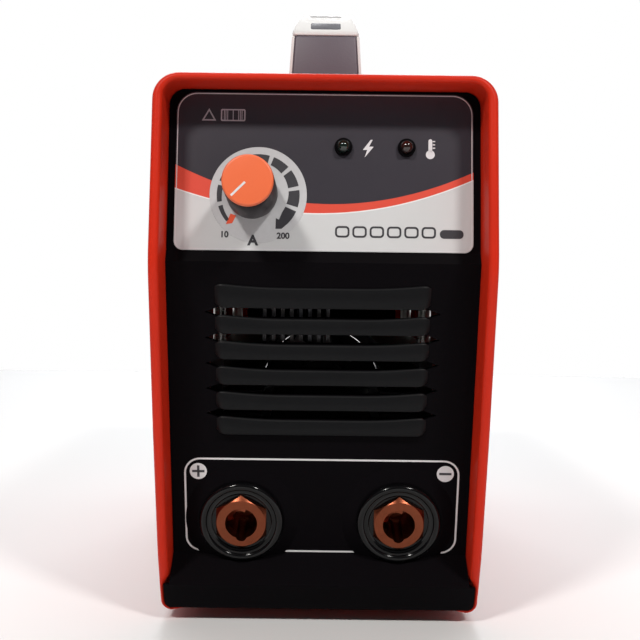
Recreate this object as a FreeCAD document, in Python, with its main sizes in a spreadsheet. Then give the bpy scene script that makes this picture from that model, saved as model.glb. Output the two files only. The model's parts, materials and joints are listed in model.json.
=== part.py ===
"""Stick welding inverter, about 312 x 130 x 262 mm, as separate named pieces.

Frame: +X to the right of a person facing the front, the front faces -Y, +Z up.
The origin is the centre of the bounding box's base. Lengths in mm, angles in degrees.
"""

import FreeCAD, Part

import os
import re

import Sketcher
from FreeCAD import Vector

# Driving dimensions: one spreadsheet cell each, under these names.
SIZES = {
    # Case as a whole
    "case_half": 65, "case_foot": 4, "case_top": 218, "wall": 4, "gap": 0.2, "hair": 0.05,
    # Front hood, side outline from its lip down to its toe (y is depth, z is height)
    "hood_back": -92, "lip_y": -147, "crease_y": -156, "crease_z": 146, "waist_y": -142.3, "waist_z": 80.6,
    "knee_y": -129.6, "knee_z": 30, "toe_y": -118.5, "crease_round": 16, "hood_round": 10, "toe_round": 4.5,
    "hood_roof": 3, "hood_floor": 1.7, "inner_round": 6, "chin_half": 63.3, "chin_top": 19,
    # Front panel, the same way
    "panel_wall": 2.5, "panel_top_y": -130.1, "panel_top_z": 214.8, "bevel_top_y": -137.2, "bevel_top_z": 151.5,
    "bevel_foot_y": -139.5, "bevel_foot_z": 147.3, "ledge_y": -113.3, "ledge_z": 27, "chin_y": -125.8,
    "chin_z": 17, "chin_foot_y": -120.5, "chin_foot_z": 6, "chin_round": 2.5,
    "label_tilt": 6.4, "panel_tilt": 12.29,
    # Louvre
    "slot_half": 46.3, "slot_flat": 40, "slot_tall": 4.5, "slot_z": 86.9, "slot_pitch": 10.44, "slot_count": 5,
    # Control label, and what sits on it; up and out are measured in the tilted plane of the label
    "film_gap": 0.02, "label_half": 58, "label_low": -21.8, "label_high": 40.6, "label_thick": 0.4, "label_round": 8,
    "label_foot_round": 3.5, "knob_x": -27.8, "knob_z": 173.3, "dial_x": -25.6, "dial_radius": 18.9,
    "dial_bore": 5, "lamp_up": 19.2, "power_x": 7.3, "heat_x": 31.9,
    "lamp_radius": 2.5, "lamp_out": 2.2, "lamp_deep": 8, "holder_radius": 3.5, "holder_out": 1.2,
    "holder_barrel": 3.1,
    # Current knob, potentiometer and control board
    "shaft_radius": 3, "shaft_out": 22, "shaft_deep": 9, "bush_radius": 4.4, "bush_out": 2, "pot_radius": 8.5,
    "pot_deep": 10, "pot_start": 2.7, "skirt_radius": 9.9, "skirt_start": 2.6, "skirt_tall": 22,
    "cap_radius": 9.7, "cap_tip": 9.5, "cap_tall": 2.4, "cap_edge": 0.8, "pointer_wide": 0.9,
    "pointer_long": 8.3, "pointer_tall": 0.3, "pointer_angle": 225,
    "board_thick": 1.6, "control_half": 50, "control_out": -16, "control_low": -17, "control_high": 36,
    # Output sockets; measured in the tilted plane of the lower panel
    "socket_x": 32.2, "socket_z": 42, "boss_radius": 26, "boss_top": 18, "boss_tall": 2, "boss_root": 1,
    "body_radius": 17.3, "body_thick": 2.5, "sleeve_radius": 14, "sleeve_deep": 22, "hex_flats": 20.4, "hex_tall": 2.2,
    "hex_sink": 0.5, "hex_face": 10, "barrel_radius": 9.6, "barrel_deep": 26, "socket_bore": 6.55,
    "bore_deep": 22, "key_radius": 2.3, "key_drop": 5.5, "key_deep": 19, "stud_radius": 5, "stud_deep": 46,
    "ring_radius": 17.5, "ring_thick": 5, "busbar_half": 7.5, "busbar_thick": 2, "busbar_out": -38,
    "busbar_up": 9, "busbar_down": 27, "stud_nut": 8.5, "stud_nut_thick": 5,
    # Sheet-metal cover and base tray
    "cover_half": 64, "sheet": 1.2, "cover_top": 217.6, "cover_low": 8, "cover_round": 9, "cover_back": 122,
    "tray_half": 62.6, "tray_floor": 1.5, "tray_tall": 24, "vent_long": 40, "vent_tall": 4, "vent_y": 66,
    "vent_apart": 96,
    "vent_z": 60, "vent_pitch": 9, "vent_count": 8,
    # Handle, side outline
    "handle_front": -90, "handle_back": 80, "handle_half": 16.4, "handle_seat": 219.4, "handle_split": 249.3,
    "handle_top": 262, "handle_under": 239, "leg_long": 25, "leg_lean": 3, "leg_step": 5, "shoulder": 20,
    "grip_half": 14.2, "trim_half": 6.8, "trim_tall": 3, "handle_edge": 3,
    "screw_head": 3.6, "head_tall": 2.2, "thin_head": 1.5, "short_screw": 8, "handle_screw": 20, "through": 60,
    # Rear frame and panel
    "rear_end": 146, "rear_panel_y": 128, "rear_plate": 2.5, "rear_round": 10,
    # Fan
    "fan_z": 74, "fan_half": 40, "fan_deep": 25, "fan_bore": 38, "fan_hub": 17, "blade_tip": 37.4,
    "blade_count": 11, "blade_thick": 1.6, "blade_lean": 66, "blade_half": 12, "fan_holes": 35.75, "fan_screw": 30,
    "wire": 0.9, "guard_out": 1.8, "guard_first": 12, "guard_pitch": 8, "guard_rings": 4, "strut": 2.2,
    "pin_radius": 2, "pin_bore": 2.05,
    # Power switch
    "switch_x": 24, "switch_z": 182, "flange_half": 15.5, "flange_tall": 13, "flange_thick": 2,
    "switch_half": 13.5, "switch_tall": 11.8, "switch_deep": 24, "rocker_half": 10, "rocker_radius": 9.6,
    "rocker_face": 4.6, "rocker_lean": -11, "well": 10.4, "well_deep": 15, "axle_radius": 1.5,
    # Cable gland and earth stud
    "gland_x": -28, "gland_z": 182, "gland_thread": 10, "gland_bore": 5, "gland_hex": 14, "gland_flange": 5,
    "gland_tip": 162.57, "gland_inner": 12, "gland_reach": 8, "gland_grip": 12,
    "gland_wall": 1, "gland_lip": 4, "earth_x": 40, "earth_z": 134, "earth_radius": 3, "earth_tip": 148,
    "earth_deep": 8, "earth_free": 12, "earth_relief": 0.5, "nut_radius": 5.8, "nut_tall": 5,
    # Feet
    "foot_radius": 9, "foot_x": 48, "foot_front": -78, "foot_rear": 104,
    # Power board, heatsinks and what they carry
    "pcb_half": 55, "pcb_z": 20, "pcb_front": -82, "pcb_back": 96, "post_radius": 3, "post_inset": 10, "sink_x": 46,
    "sink_base": 6, "sink_low": 24, "sink_high": 110, "sink_y": 60, "fin_long": 18, "fin_thick": 1.6,
    "fin_count": 9, "upper_x": -24, "upper_wide": 27, "upper_front": -124, "upper_back": -50,
    "upper_low": 116, "upper_high": 140, "tooth": 1.5, "tooth_count": 8, "driver_half": 52,
    "driver_z": 146, "driver_front": -110, "driver_back": 62,
    "core_half": 25, "core_y": 15, "core_low": 23, "core_high": 75, "limb": 8, "yoke": 8,
    "coil_half": 16.8, "coil_y": 24, "choke_y": -55, "choke_z": 46, "choke_ring": 14, "choke_wire": 8,
    "cap_can": 13.5, "can_tall": 45, "can_y": 80, "can_pitch": 34,
    "chip_wide": 16, "chip_tall": 20, "chip_thick": 5, "chip_z": 34, "chip_pitch": 28, "chip_count": 4,
    "block_wide": 24, "block_long": 18, "block_tall": 10, "block_x": 14, "block_y": 50,
}

DOC = FreeCAD.newDocument("StickWeldingInverter")
SHEET = DOC.addObject("Spreadsheet::Sheet", "sizes")
SUB_PARTS = []


def fill_sheet():
    for row, (name, value) in enumerate(SIZES.items(), 1):
        SHEET.set(f"A{row}", name)
        SHEET.set(f"B{row}", str(value))
        SHEET.setAlias(f"B{row}", name)
    DOC.recompute()


def linked(text):
    """An expression in which each size's name refers to its cell."""
    return re.sub(r"[a-z]\w*", lambda word: "sizes." + word[0] if word[0] in SIZES else word[0], str(text))


def value(text):
    return float(SHEET.evalExpression(linked(text).replace("sizes.", "")))


def bind(thing, **expressions):
    for name, text in expressions.items():
        thing.setExpression(name.replace("__", "."), linked(text))
    return thing


def bind_placement(thing, name, at, tilt=None, axis="x"):
    """Binds a placement's position, and its turn by tilt about one axis."""
    for letter, text in zip("xyz", at):
        thing.setExpression(f"{name}.Base.{letter}", linked(text))
    if tilt is not None:
        for letter in "xyz":
            thing.setExpression(f"{name}.Rotation.Axis.{letter}", "1" if letter == axis else "0")
        thing.setExpression(f"{name}.Rotation.Angle", linked(tilt))
    return thing


# Tilted planes: a point on the plane at x = 0, and the turn about X that makes its normal local +Z.
LABEL = ("bevel_top_y + (knob_z - bevel_top_z) * tan(label_tilt)", "knob_z", "90 - label_tilt")
LOWER = ("ledge_y - (socket_z - ledge_z) * tan(panel_tilt)", "socket_z", "90 + panel_tilt")


def on_plane(plane, x, up, out):
    """World coordinates of a point given by x, its way up the plane and its way out of it."""
    y, z, turn = plane
    return (f"{x}", f"{y} + ({up}) * cos({turn}) - ({out}) * sin({turn})",
            f"{z} + ({up}) * sin({turn}) + ({out}) * cos({turn})")


# ---- Part primitives and booleans ----

def primitive(kind, at, tilt, axis, **expressions):
    thing = DOC.addObject(kind, "solid")
    bind(thing, **expressions)
    return bind_placement(thing, "Placement", at, tilt, axis)


def block(low, high):
    """A box between two corners."""
    spans = [f"({b}) - ({a})" for a, b in zip(low, high)]
    return primitive("Part::Box", low, None, "x", Length=spans[0], Width=spans[1], Height=spans[2])


def rod(radius, length, at, tilt=None, axis="x"):
    return primitive("Part::Cylinder", at, tilt, axis, Radius=radius, Height=length)


def cone(low_radius, high_radius, length, at, tilt=None, axis="x"):
    return primitive("Part::Cone", at, tilt, axis, Radius1=low_radius, Radius2=high_radius, Height=length)


def hexagon(radius, length, at, tilt=None, axis="x"):
    prism = primitive("Part::Prism", at, tilt, axis, Circumradius=radius, Height=length)
    prism.Polygon = 6
    return prism


def ring(radius, wire, at, tilt=None, axis="x"):
    return primitive("Part::Torus", at, tilt, axis, Radius1=radius, Radius2=wire)


def along_y(radius, length, x, y, z):
    """A cylinder from y towards +Y."""
    return rod(radius, length, (x, y, z), -90)


def joined(*solids):
    fuse = DOC.addObject("Part::MultiFuse", "joined")
    fuse.Shapes = list(solids)
    return fuse


def without(base, *tools):
    """The base with each tool cut out of it."""
    cut = DOC.addObject("Part::Cut", "cut")
    cut.Base = base
    cut.Tool = tools[0] if len(tools) == 1 else joined(*tools)
    return cut


def shared(first, second):
    common = DOC.addObject("Part::Common", "common")
    common.Base = first
    common.Tool = second
    return common


def group(*solids):
    compound = DOC.addObject("Part::Compound", "group")
    compound.Links = list(solids)
    return compound


def sub_part(name, thing):
    """Names a finished sub-part; its label is its file's name."""
    thing.Label = name
    SUB_PARTS.append(thing)
    return thing


# ---- PartDesign bodies and sketches ----

def new_body(name):
    body = DOC.addObject("PartDesign::Body", "body_" + name)
    return sub_part(name, body)


def origin_plane(body, role):
    """One of the body's own origin planes, by its role, as an attachment."""
    return [(next(item for item in body.Origin.OriginFeatures if item.Role == role), "")]


def new_sketch(body, role, at=None, tilt=None):
    """A sketch on one of its own body's origin planes, moved and tilted within that plane's frame."""
    sketch = body.newObject("Sketcher::SketchObject", "sketch")
    sketch.AttachmentSupport = origin_plane(body, role)
    sketch.MapMode = "FlatFace"
    if at:
        bind_placement(sketch, "AttachmentOffset", at, tilt)
    return sketch


def fix_point(sketch, edge, end, x, y):
    for kind, text in (("DistanceX", x), ("DistanceY", y)):
        index = sketch.addConstraint(Sketcher.Constraint(kind, -1, 1, edge, end, value(text)))
        sketch.setExpression(f"Constraints[{index}]", linked(text))


def polygon(sketch, points):
    """A closed outline through points whose coordinates are expressions."""
    places = [Vector(value(x), value(y), 0) for x, y in points]
    first = sketch.GeometryCount
    count = len(points)
    for index in range(count):
        sketch.addGeometry(Part.LineSegment(places[index], places[(index + 1) % count]), False)
    for index, (x, y) in enumerate(points):
        before = first + (index - 1) % count
        sketch.addConstraint(Sketcher.Constraint("Coincident", before, 2, first + index, 1))
        fix_point(sketch, first + index, 1, x, y)
    return sketch


def circle(sketch, x, y, radius):
    centre = Vector(value(x), value(y), 0)
    edge = sketch.addGeometry(Part.Circle(centre, Vector(0, 0, 1), value(radius)), False)
    fix_point(sketch, edge, 3, x, y)
    index = sketch.addConstraint(Sketcher.Constraint("Radius", edge, value(radius)))
    sketch.setExpression(f"Constraints[{index}]", linked(radius))
    return sketch


def extrude(kind, body, sketch, length, middle=False, back=False):
    feature = body.newObject(kind, "extrusion")
    feature.Profile = sketch
    bind(feature, Length=length)
    feature.SideType = "Symmetric" if middle else "One side"
    feature.Reversed = back
    body.Tip = feature
    return feature


def pad(body, sketch, length, middle=False, back=False):
    return extrude("PartDesign::Pad", body, sketch, length, middle, back)


def pocket(body, sketch, length, middle=True, back=False):
    return extrude("PartDesign::Pocket", body, sketch, length, middle, back)


def pattern(body, feature, sketch, span, count):
    """Repeats a feature up its sketch's vertical axis."""
    rows = body.newObject("PartDesign::LinearPattern", "rows")
    rows.Originals = [feature]
    rows.Direction = (sketch, ["V_Axis"])
    bind(rows, Length=span, Occurrences=count)
    body.Tip = rows
    return rows


def round_off(body, radius, chosen):
    """Rounds the edges that chosen picks by their ends."""
    DOC.recompute()
    base = body.Tip
    names = [f"Edge{index}" for index, edge in enumerate(base.Shape.Edges, 1)
             if len(edge.Vertexes) == 2 and chosen(*(vertex.Point for vertex in edge.Vertexes))]
    if not names:
        raise RuntimeError(f"{body.Label}: no edge to round")
    fillet = body.newObject("PartDesign::Fillet", "rounding")
    fillet.Base = (base, names)
    bind(fillet, Radius=radius)
    body.Tip = fillet
    return fillet


def near(number, text):
    return abs(number - value(text)) < 0.01


def rectangle(sketch, left, low, right, high):
    return polygon(sketch, [(left, low), (right, low), (right, high), (left, high)])


# ---- Front: hood, panel, label ----

def front_bezel():
    """Moulded red hood: a tube whose rim leans in below a crease."""
    body = new_body("front_bezel")
    side = polygon(new_sketch(body, "YZ_Plane"), [
        ("hood_back", "case_foot"), ("toe_y", "case_foot"), ("knee_y", "knee_z"), ("waist_y", "waist_z"),
        ("crease_y", "crease_z"), ("lip_y", "case_top"), ("hood_back", "case_top")])
    pad(body, side, "2 * case_half", middle=True)
    round_off(body, "crease_round", lambda a, b: near(a.z, "crease_z") and near(b.z, "crease_z")
              and near(a.y, "crease_y"))
    across = lambda a, b: abs(a.x - b.x) < 0.01 and near(abs(a.x), "case_half") and abs(a.y - b.y) > 1
    round_off(body, "hood_round", lambda a, b: across(a, b) and near(a.z, "case_top") and near(b.z, "case_top"))
    round_off(body, "toe_round", lambda a, b: across(a, b) and near(a.z, "case_foot") and near(b.z, "case_foot"))
    mouth = new_sketch(body, "XZ_Plane")
    rectangle(mouth, "wall - case_half", "case_foot + hood_floor", "case_half - wall", "case_top - hood_roof")
    pocket(body, mouth, "4 * case_top", middle=True)
    chin = new_sketch(body, "XZ_Plane")
    rectangle(chin, "-chin_half", "case_foot + hood_floor", "chin_half", "chin_top")
    pocket(body, chin, "4 * case_top", middle=True)
    inside = lambda a, b: abs(a.x - b.x) < 0.01 and abs(a.z - b.z) < 0.01 and abs(a.y - b.y) > 1
    round_off(body, "inner_round", lambda a, b: inside(a, b) and near(a.z, "case_top - hood_roof"))
    round_off(body, "chin_round", lambda a, b: inside(a, b) and near(abs(a.x), "chin_half")
              and near(a.z, "case_foot + hood_floor"))
    return body


def front_panel():
    """Black moulded shell: label seat, bevel, lower plane with louvre and sockets, ledge and chin."""
    body = new_body("front_panel")
    face = [("panel_top_y", "panel_top_z"), ("bevel_top_y", "bevel_top_z"), ("bevel_foot_y", "bevel_foot_z"),
            ("ledge_y", "ledge_z"), ("chin_y", "chin_z"), ("chin_foot_y", "chin_foot_z")]
    back = [(f"{y} + panel_wall", z) for y, z in reversed(face)]
    pad(body, polygon(new_sketch(body, "YZ_Plane"), face + back), "2 * (case_half - wall - gap)", middle=True)
    chin = face[-2:] + back[:2]
    pad(body, polygon(new_sketch(body, "YZ_Plane"), chin), "2 * (chin_half - gap)", middle=True)
    round_off(body, "inner_round", lambda a, b: near(a.z, "panel_top_z") and near(b.z, "panel_top_z")
              and abs(a.y - b.y) > 1)
    round_off(body, "chin_round", lambda a, b: near(a.z, "chin_foot_z") and near(b.z, "chin_foot_z")
              and abs(a.y - b.y) > 1)
    for side in ("", "-"):
        boss = body.newObject("PartDesign::AdditiveCone", "boss")
        boss.AttachmentSupport = origin_plane(body, "XY_Plane")
        boss.MapMode = "FlatFace"
        bind(boss, Radius1="boss_radius", Radius2="boss_top", Height="boss_root + boss_tall")
        bind_placement(boss, "AttachmentOffset", on_plane(LOWER, side + "socket_x", "0", "-boss_root"), LOWER[2])
        body.Tip = boss
    seats = new_sketch(body, "XY_Plane", on_plane(LOWER, "0", "0", "boss_tall"), LOWER[2])
    holes = new_sketch(body, "XY_Plane", on_plane(LOWER, "0", "0", "0"), LOWER[2])
    for side in ("", "-"):
        circle(seats, side + "socket_x", "0", "body_radius + 2 * gap")
        circle(holes, side + "socket_x", "0", "sleeve_radius + hair")
    pocket(body, seats, "chin_z", middle=False, back=True)
    pocket(body, holes, "4 * panel_wall", middle=True)
    controls = new_sketch(body, "XY_Plane", on_plane(LABEL, "0", "0", "0"), LABEL[2])
    circle(controls, "knob_x", "0", "bush_radius + hair")
    for x in ("power_x", "heat_x"):
        circle(controls, x, "lamp_up", "holder_barrel + hair")
    pocket(body, controls, "4 * panel_wall", middle=True)
    slot = new_sketch(body, "XY_Plane", on_plane(LOWER, "0", "(slot_z - socket_z) / cos(panel_tilt)", "0"), LOWER[2])
    polygon(slot, [("-slot_half", "0"), ("-slot_flat", "-slot_tall / 2"), ("slot_flat", "-slot_tall / 2"),
                   ("slot_half", "0"), ("slot_flat", "slot_tall / 2"), ("-slot_flat", "slot_tall / 2")])
    cut = pocket(body, slot, "4 * panel_wall", middle=True)
    pattern(body, cut, slot, "slot_pitch * (slot_count - 1)", "slot_count")
    return body


def control_label():
    """Thin printed sheet with openings for the dial and the two lamps."""
    body = new_body("control_label")
    bind_placement(body, "Placement", on_plane(LABEL, "0", "0", "film_gap"), LABEL[2])
    sheet = rectangle(new_sketch(body, "XY_Plane"), "-label_half", "label_low", "label_half", "label_high")
    pad(body, sheet, "label_thick - film_gap")
    upright = lambda a, b: abs(a.z - b.z) > 0.1
    round_off(body, "label_round", lambda a, b: upright(a, b) and near(a.y, "label_high"))
    round_off(body, "label_foot_round", lambda a, b: upright(a, b) and near(a.y, "label_low"))
    holes = new_sketch(body, "XY_Plane")
    circle(holes, "dial_x", "0", "dial_radius + hair")
    for x in ("power_x", "heat_x"):
        circle(holes, x, "lamp_up", "holder_barrel + hair")
    pocket(body, holes, "4 * label_thick", middle=True)
    return body


def dial_ring():
    """Printed disc behind the knob, let into the label."""
    disc = rod("dial_radius", "label_thick - film_gap", on_plane(LABEL, "dial_x", "0", "film_gap"), LABEL[2])
    bore = rod("dial_bore", "label_thick", on_plane(LABEL, "knob_x", "0", "0"), LABEL[2])
    sub_part("dial_ring", without(disc, bore))


def lamps():
    """Two domed lamps, each in a flanged holder."""
    holders = []
    for name, x in (("power_led", "power_x"), ("overheat_led", "heat_x")):
        lens = rod("lamp_radius", "lamp_deep", on_plane(LABEL, x, "lamp_up", "lamp_out - lamp_deep"), LABEL[2])
        dome = primitive("Part::Sphere", on_plane(LABEL, x, "lamp_up", "lamp_out"), LABEL[2], "x",
                         Radius="lamp_radius")
        sub_part(name, joined(lens, dome))
        flange = rod("holder_radius", "holder_out", on_plane(LABEL, x, "lamp_up", "label_thick"), LABEL[2])
        barrel = rod("holder_barrel", "2 * panel_wall",
                     on_plane(LABEL, x, "lamp_up", "label_thick - 2 * panel_wall"), LABEL[2])
        bore = rod("lamp_radius + hair", "4 * lamp_deep", on_plane(LABEL, x, "lamp_up", "-2 * lamp_deep"), LABEL[2])
        holders.append(without(joined(flange, barrel), bore))
    sub_part("led_holders", group(*holders))


# ---- Current knob ----

def potentiometer():
    """Round body behind the panel with the bush that guides the shaft."""
    can = rod("pot_radius", "pot_deep", on_plane(LABEL, "knob_x", "0", "-pot_start - pot_deep"), LABEL[2])
    bush = rod("bush_radius", "pot_start + bush_out", on_plane(LABEL, "knob_x", "0", "-pot_start"), LABEL[2])
    bore = rod("shaft_radius + hair", "4 * pot_deep", on_plane(LABEL, "knob_x", "0", "-shaft_deep - gap"), LABEL[2])
    sub_part("potentiometer", without(joined(can, bush), bore))


def current_knob():
    """Shaft, black skirt, orange cap and its white pointer line, which turn together."""
    at = lambda out: on_plane(LABEL, "knob_x", "0", out)
    shaft = rod("shaft_radius", "shaft_deep + shaft_out", at("-shaft_deep"), LABEL[2])
    sub_part("pot_shaft", shaft)
    hole = rod("shaft_radius + hair", "shaft_out + gap", at("0"), LABEL[2])
    skirt = cone("skirt_radius", "cap_radius", "skirt_tall", at("skirt_start"), LABEL[2])
    sub_part("knob_skirt", without(skirt, hole))
    cap_start = "skirt_start + skirt_tall"
    barrel = cone("cap_radius", "cap_tip", "cap_tall - cap_edge", at(cap_start), LABEL[2])
    edge = cone("cap_tip", "cap_tip - cap_edge", "cap_edge", at(f"{cap_start} + cap_tall - cap_edge"), LABEL[2])
    sub_part("knob_cap", joined(barrel, edge))
    pointer = new_body("knob_pointer")
    bind_placement(pointer, "Placement", at(f"{cap_start} + cap_tall"), LABEL[2])
    line = new_sketch(pointer, "XY_Plane")
    tip = ("pointer_long * cos(pointer_angle)", "pointer_long * sin(pointer_angle)")
    aside = ("pointer_wide / 2 * sin(pointer_angle)", "pointer_wide / 2 * cos(pointer_angle)")
    polygon(line, [(aside[0], "-" + aside[1]), (f"{tip[0]} + {aside[0]}", f"{tip[1]} - {aside[1]}"),
                   (f"{tip[0]} - {aside[0]}", f"{tip[1]} + {aside[1]}"), ("-" + aside[0], aside[1])])
    pad(pointer, line, "pointer_tall")


def control_board():
    """Circuit board behind the label, with a hole around the potentiometer's body."""
    body = new_body("control_board")
    bind_placement(body, "Placement", on_plane(LABEL, "0", "0", "control_out"), LABEL[2])
    outline = rectangle(new_sketch(body, "XY_Plane"), "-control_half", "control_low", "control_half", "control_high")
    pad(body, outline, "board_thick")


# ---- Output sockets ----

def output_socket(name, side):
    """Insulating body, brass contact with a keyed bore, and the ring nut behind the panel."""
    at = lambda out, up="0": on_plane(LOWER, side + "socket_x", up, out)
    turn = LOWER[2]
    flange = rod("body_radius", "body_thick", at("boss_tall"), turn)
    sleeve = rod("sleeve_radius", "sleeve_deep + boss_tall", at("-sleeve_deep"), turn)
    hex_radius = "hex_flats / sqrt(3)"
    mouth = rod(f"{hex_radius} + gap", "body_thick + gap", at("boss_tall + hex_sink"), turn)
    bore = rod("barrel_radius + hair", "2 * sleeve_deep", at("-sleeve_deep - gap"), turn)
    sub_part(name + "_socket_body", without(joined(flange, sleeve), mouth, bore))

    hexagonal = hexagon(hex_radius, "hex_tall", at("boss_tall + hex_sink"), turn)
    for item in ("Angle", "Axis.x", "Axis.y", "Axis.z"):
        hexagonal.setExpression("Placement.Rotation." + item, None)
    corner_up = FreeCAD.Rotation(Vector(1, 0, 0), value(turn)) * FreeCAD.Rotation(Vector(0, 0, 1), 30)
    foot = Vector(*(value(text) for text in at("boss_tall + hex_sink")))
    hexagonal.Placement = FreeCAD.Placement(foot, corner_up)
    chamfer = cone("hex_face + hex_tall", "hex_face", "hex_tall", at("boss_tall + hex_sink"), turn)
    barrel = rod("barrel_radius", "barrel_deep + boss_tall + hex_sink", at("-barrel_deep"), turn)
    stud = rod("stud_radius", "stud_deep - barrel_deep", at("-stud_deep"), turn)
    face = "boss_tall + hex_sink + hex_tall"
    hole = rod("socket_bore", "bore_deep", at(f"{face} - bore_deep"), turn)
    key = rod("key_radius", "key_deep", at(f"{face} - key_deep", "-key_drop"), turn)
    sub_part(name + "_contact", without(joined(shared(hexagonal, chamfer), barrel, stud), hole, key))

    nut_out = "-panel_wall - gap - ring_thick"
    ring_nut = hexagon("ring_radius", "ring_thick", at(nut_out), turn)
    sub_part(name + "_socket_nut", without(ring_nut, rod("sleeve_radius + hair", "2 * ring_thick", at(nut_out), turn)))

    strip = new_body("busbar_" + name)
    bind_placement(strip, "Placement", at("busbar_out"), turn)
    outline = new_sketch(strip, "XY_Plane")
    rectangle(outline, "-busbar_half", "-busbar_down", "busbar_half", "busbar_up")
    circle(outline, "0", "0", "stud_radius + hair")
    pad(strip, outline, "busbar_thick")
    nut = hexagon("stud_nut", "stud_nut_thick", at("busbar_out - stud_nut_thick"), turn)
    return without(nut, rod("stud_radius + hair", "stud_nut_thick", at("busbar_out - stud_nut_thick"), turn))


def output_sockets():
    sub_part("stud_nuts", group(output_socket("positive", "-"), output_socket("negative", "")))


# ---- Case ----

def main_cover():
    """Painted sheet folded over the top and both sides, with ventilation slots in the sides."""
    body = new_body("main_cover")
    outside = ["-cover_half", "cover_half"]
    inside = ["sheet - cover_half", "cover_half - sheet"]
    outline = polygon(new_sketch(body, "XZ_Plane"), [
        (outside[0], "cover_low"), (inside[0], "cover_low"), (inside[0], "cover_top - sheet"),
        (inside[1], "cover_top - sheet"), (inside[1], "cover_low"), (outside[1], "cover_low"),
        (outside[1], "cover_top"), (outside[0], "cover_top")])
    length = "cover_back - hood_back - gap"
    pad(body, outline, length)
    lengthwise = lambda a, b: abs(a.y - b.y) > 10
    round_off(body, "cover_round", lambda a, b: lengthwise(a, b) and near(a.z, "cover_top"))
    round_off(body, "cover_round - sheet", lambda a, b: lengthwise(a, b) and near(a.z, "cover_top - sheet"))
    bind_placement(body, "Placement", ("0", "cover_back - gap / 2", "0"))
    middle = "vent_y - cover_back"
    for column in (middle, f"{middle} - vent_apart"):
        slot = rectangle(new_sketch(body, "YZ_Plane"), f"{column} - vent_long / 2", "vent_z",
                         f"{column} + vent_long / 2", "vent_z + vent_tall")
        cut = pocket(body, slot, "4 * case_half", middle=True)
        pattern(body, cut, slot, "vent_pitch * (vent_count - 1)", "vent_count")
    holes = new_sketch(body, "XY_Plane")
    for y in handle_screw_places():
        circle(holes, "0", f"{y} - cover_back + gap / 2", "pin_bore")
    pocket(body, holes, "2 * case_top + through", middle=True)
    side = new_sketch(body, "YZ_Plane")
    for y in ("foot_front", "foot_rear"):
        circle(side, f"{y} - cover_back + gap / 2", "tray_tall / 2 + case_foot", "pin_bore")
    pocket(body, side, "4 * case_half", middle=True)
    return body


def base_tray():
    """Sheet floor with turned-up sides."""
    body = new_body("base_tray")
    floor = "case_foot + tray_floor"
    outline = polygon(new_sketch(body, "XZ_Plane"), [
        ("-tray_half", "case_foot"), ("tray_half", "case_foot"), ("tray_half", "tray_tall"),
        ("tray_half - sheet", "tray_tall"), ("tray_half - sheet", floor), ("sheet - tray_half", floor),
        ("sheet - tray_half", "tray_tall"), ("-tray_half", "tray_tall")])
    pad(body, outline, "cover_back - hood_back - gap")
    bind_placement(body, "Placement", ("0", "cover_back - gap / 2", "0"))
    holes = new_sketch(body, "XY_Plane")
    for x in ("-foot_x", "foot_x"):
        for y in ("foot_front", "foot_rear"):
            circle(holes, x, f"{y} - cover_back + gap / 2", "pin_bore")
    pocket(body, holes, "3 * (case_foot + tray_floor)", middle=True)
    side = new_sketch(body, "YZ_Plane")
    for y in ("foot_front", "foot_rear"):
        circle(side, f"{y} - cover_back + gap / 2", "tray_tall / 2 + case_foot", "pin_bore")
    pocket(body, side, "4 * case_half", middle=True)
    return body


def cover_screws():
    """Four screws that hold the cover's sides to the tray."""
    screws = []
    height = "tray_tall / 2 + case_foot"
    for y in ("foot_front", "foot_rear"):
        for start, head in (("cover_half - 3 * sheet", "cover_half"), ("-case_half", "-case_half")):
            shank_start = start if start != "-case_half" else "-cover_half"
            shank = rod("pin_radius", "3 * sheet", (shank_start, y, height), 90, "y")
            cap = rod("screw_head", "case_half - cover_half", (head, y, height), 90, "y")
            screws.append(joined(shank, cap))
    sub_part("cover_screws", group(*screws))


def feet():
    """Four rubber feet, each with its screw through the tray."""
    pads, screws = [], []
    for x, y in ((x, y) for y in ("foot_front", "foot_rear") for x in ("-foot_x", "foot_x")):
        whole = cone("foot_radius - 1", "foot_radius", "case_foot", (x, y, "0"))
        recess = rod("screw_head + gap", "case_foot / 2", (x, y, "0"))
        pads.append(without(whole, recess, rod("pin_bore", "case_foot", (x, y, "0"))))
        head = rod("screw_head", "case_foot / 4", (x, y, "case_foot / 4"))
        shank = rod("pin_radius", "case_foot + tray_floor", (x, y, "case_foot / 2"))
        screws.append(joined(head, shank))
    sub_part("feet", group(*pads))
    sub_part("foot_screws", group(*screws))


# ---- Handle ----

def handle_screw_places():
    return ("handle_front + leg_long / 2 + 1", "handle_back - leg_long / 2 - 1")


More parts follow.
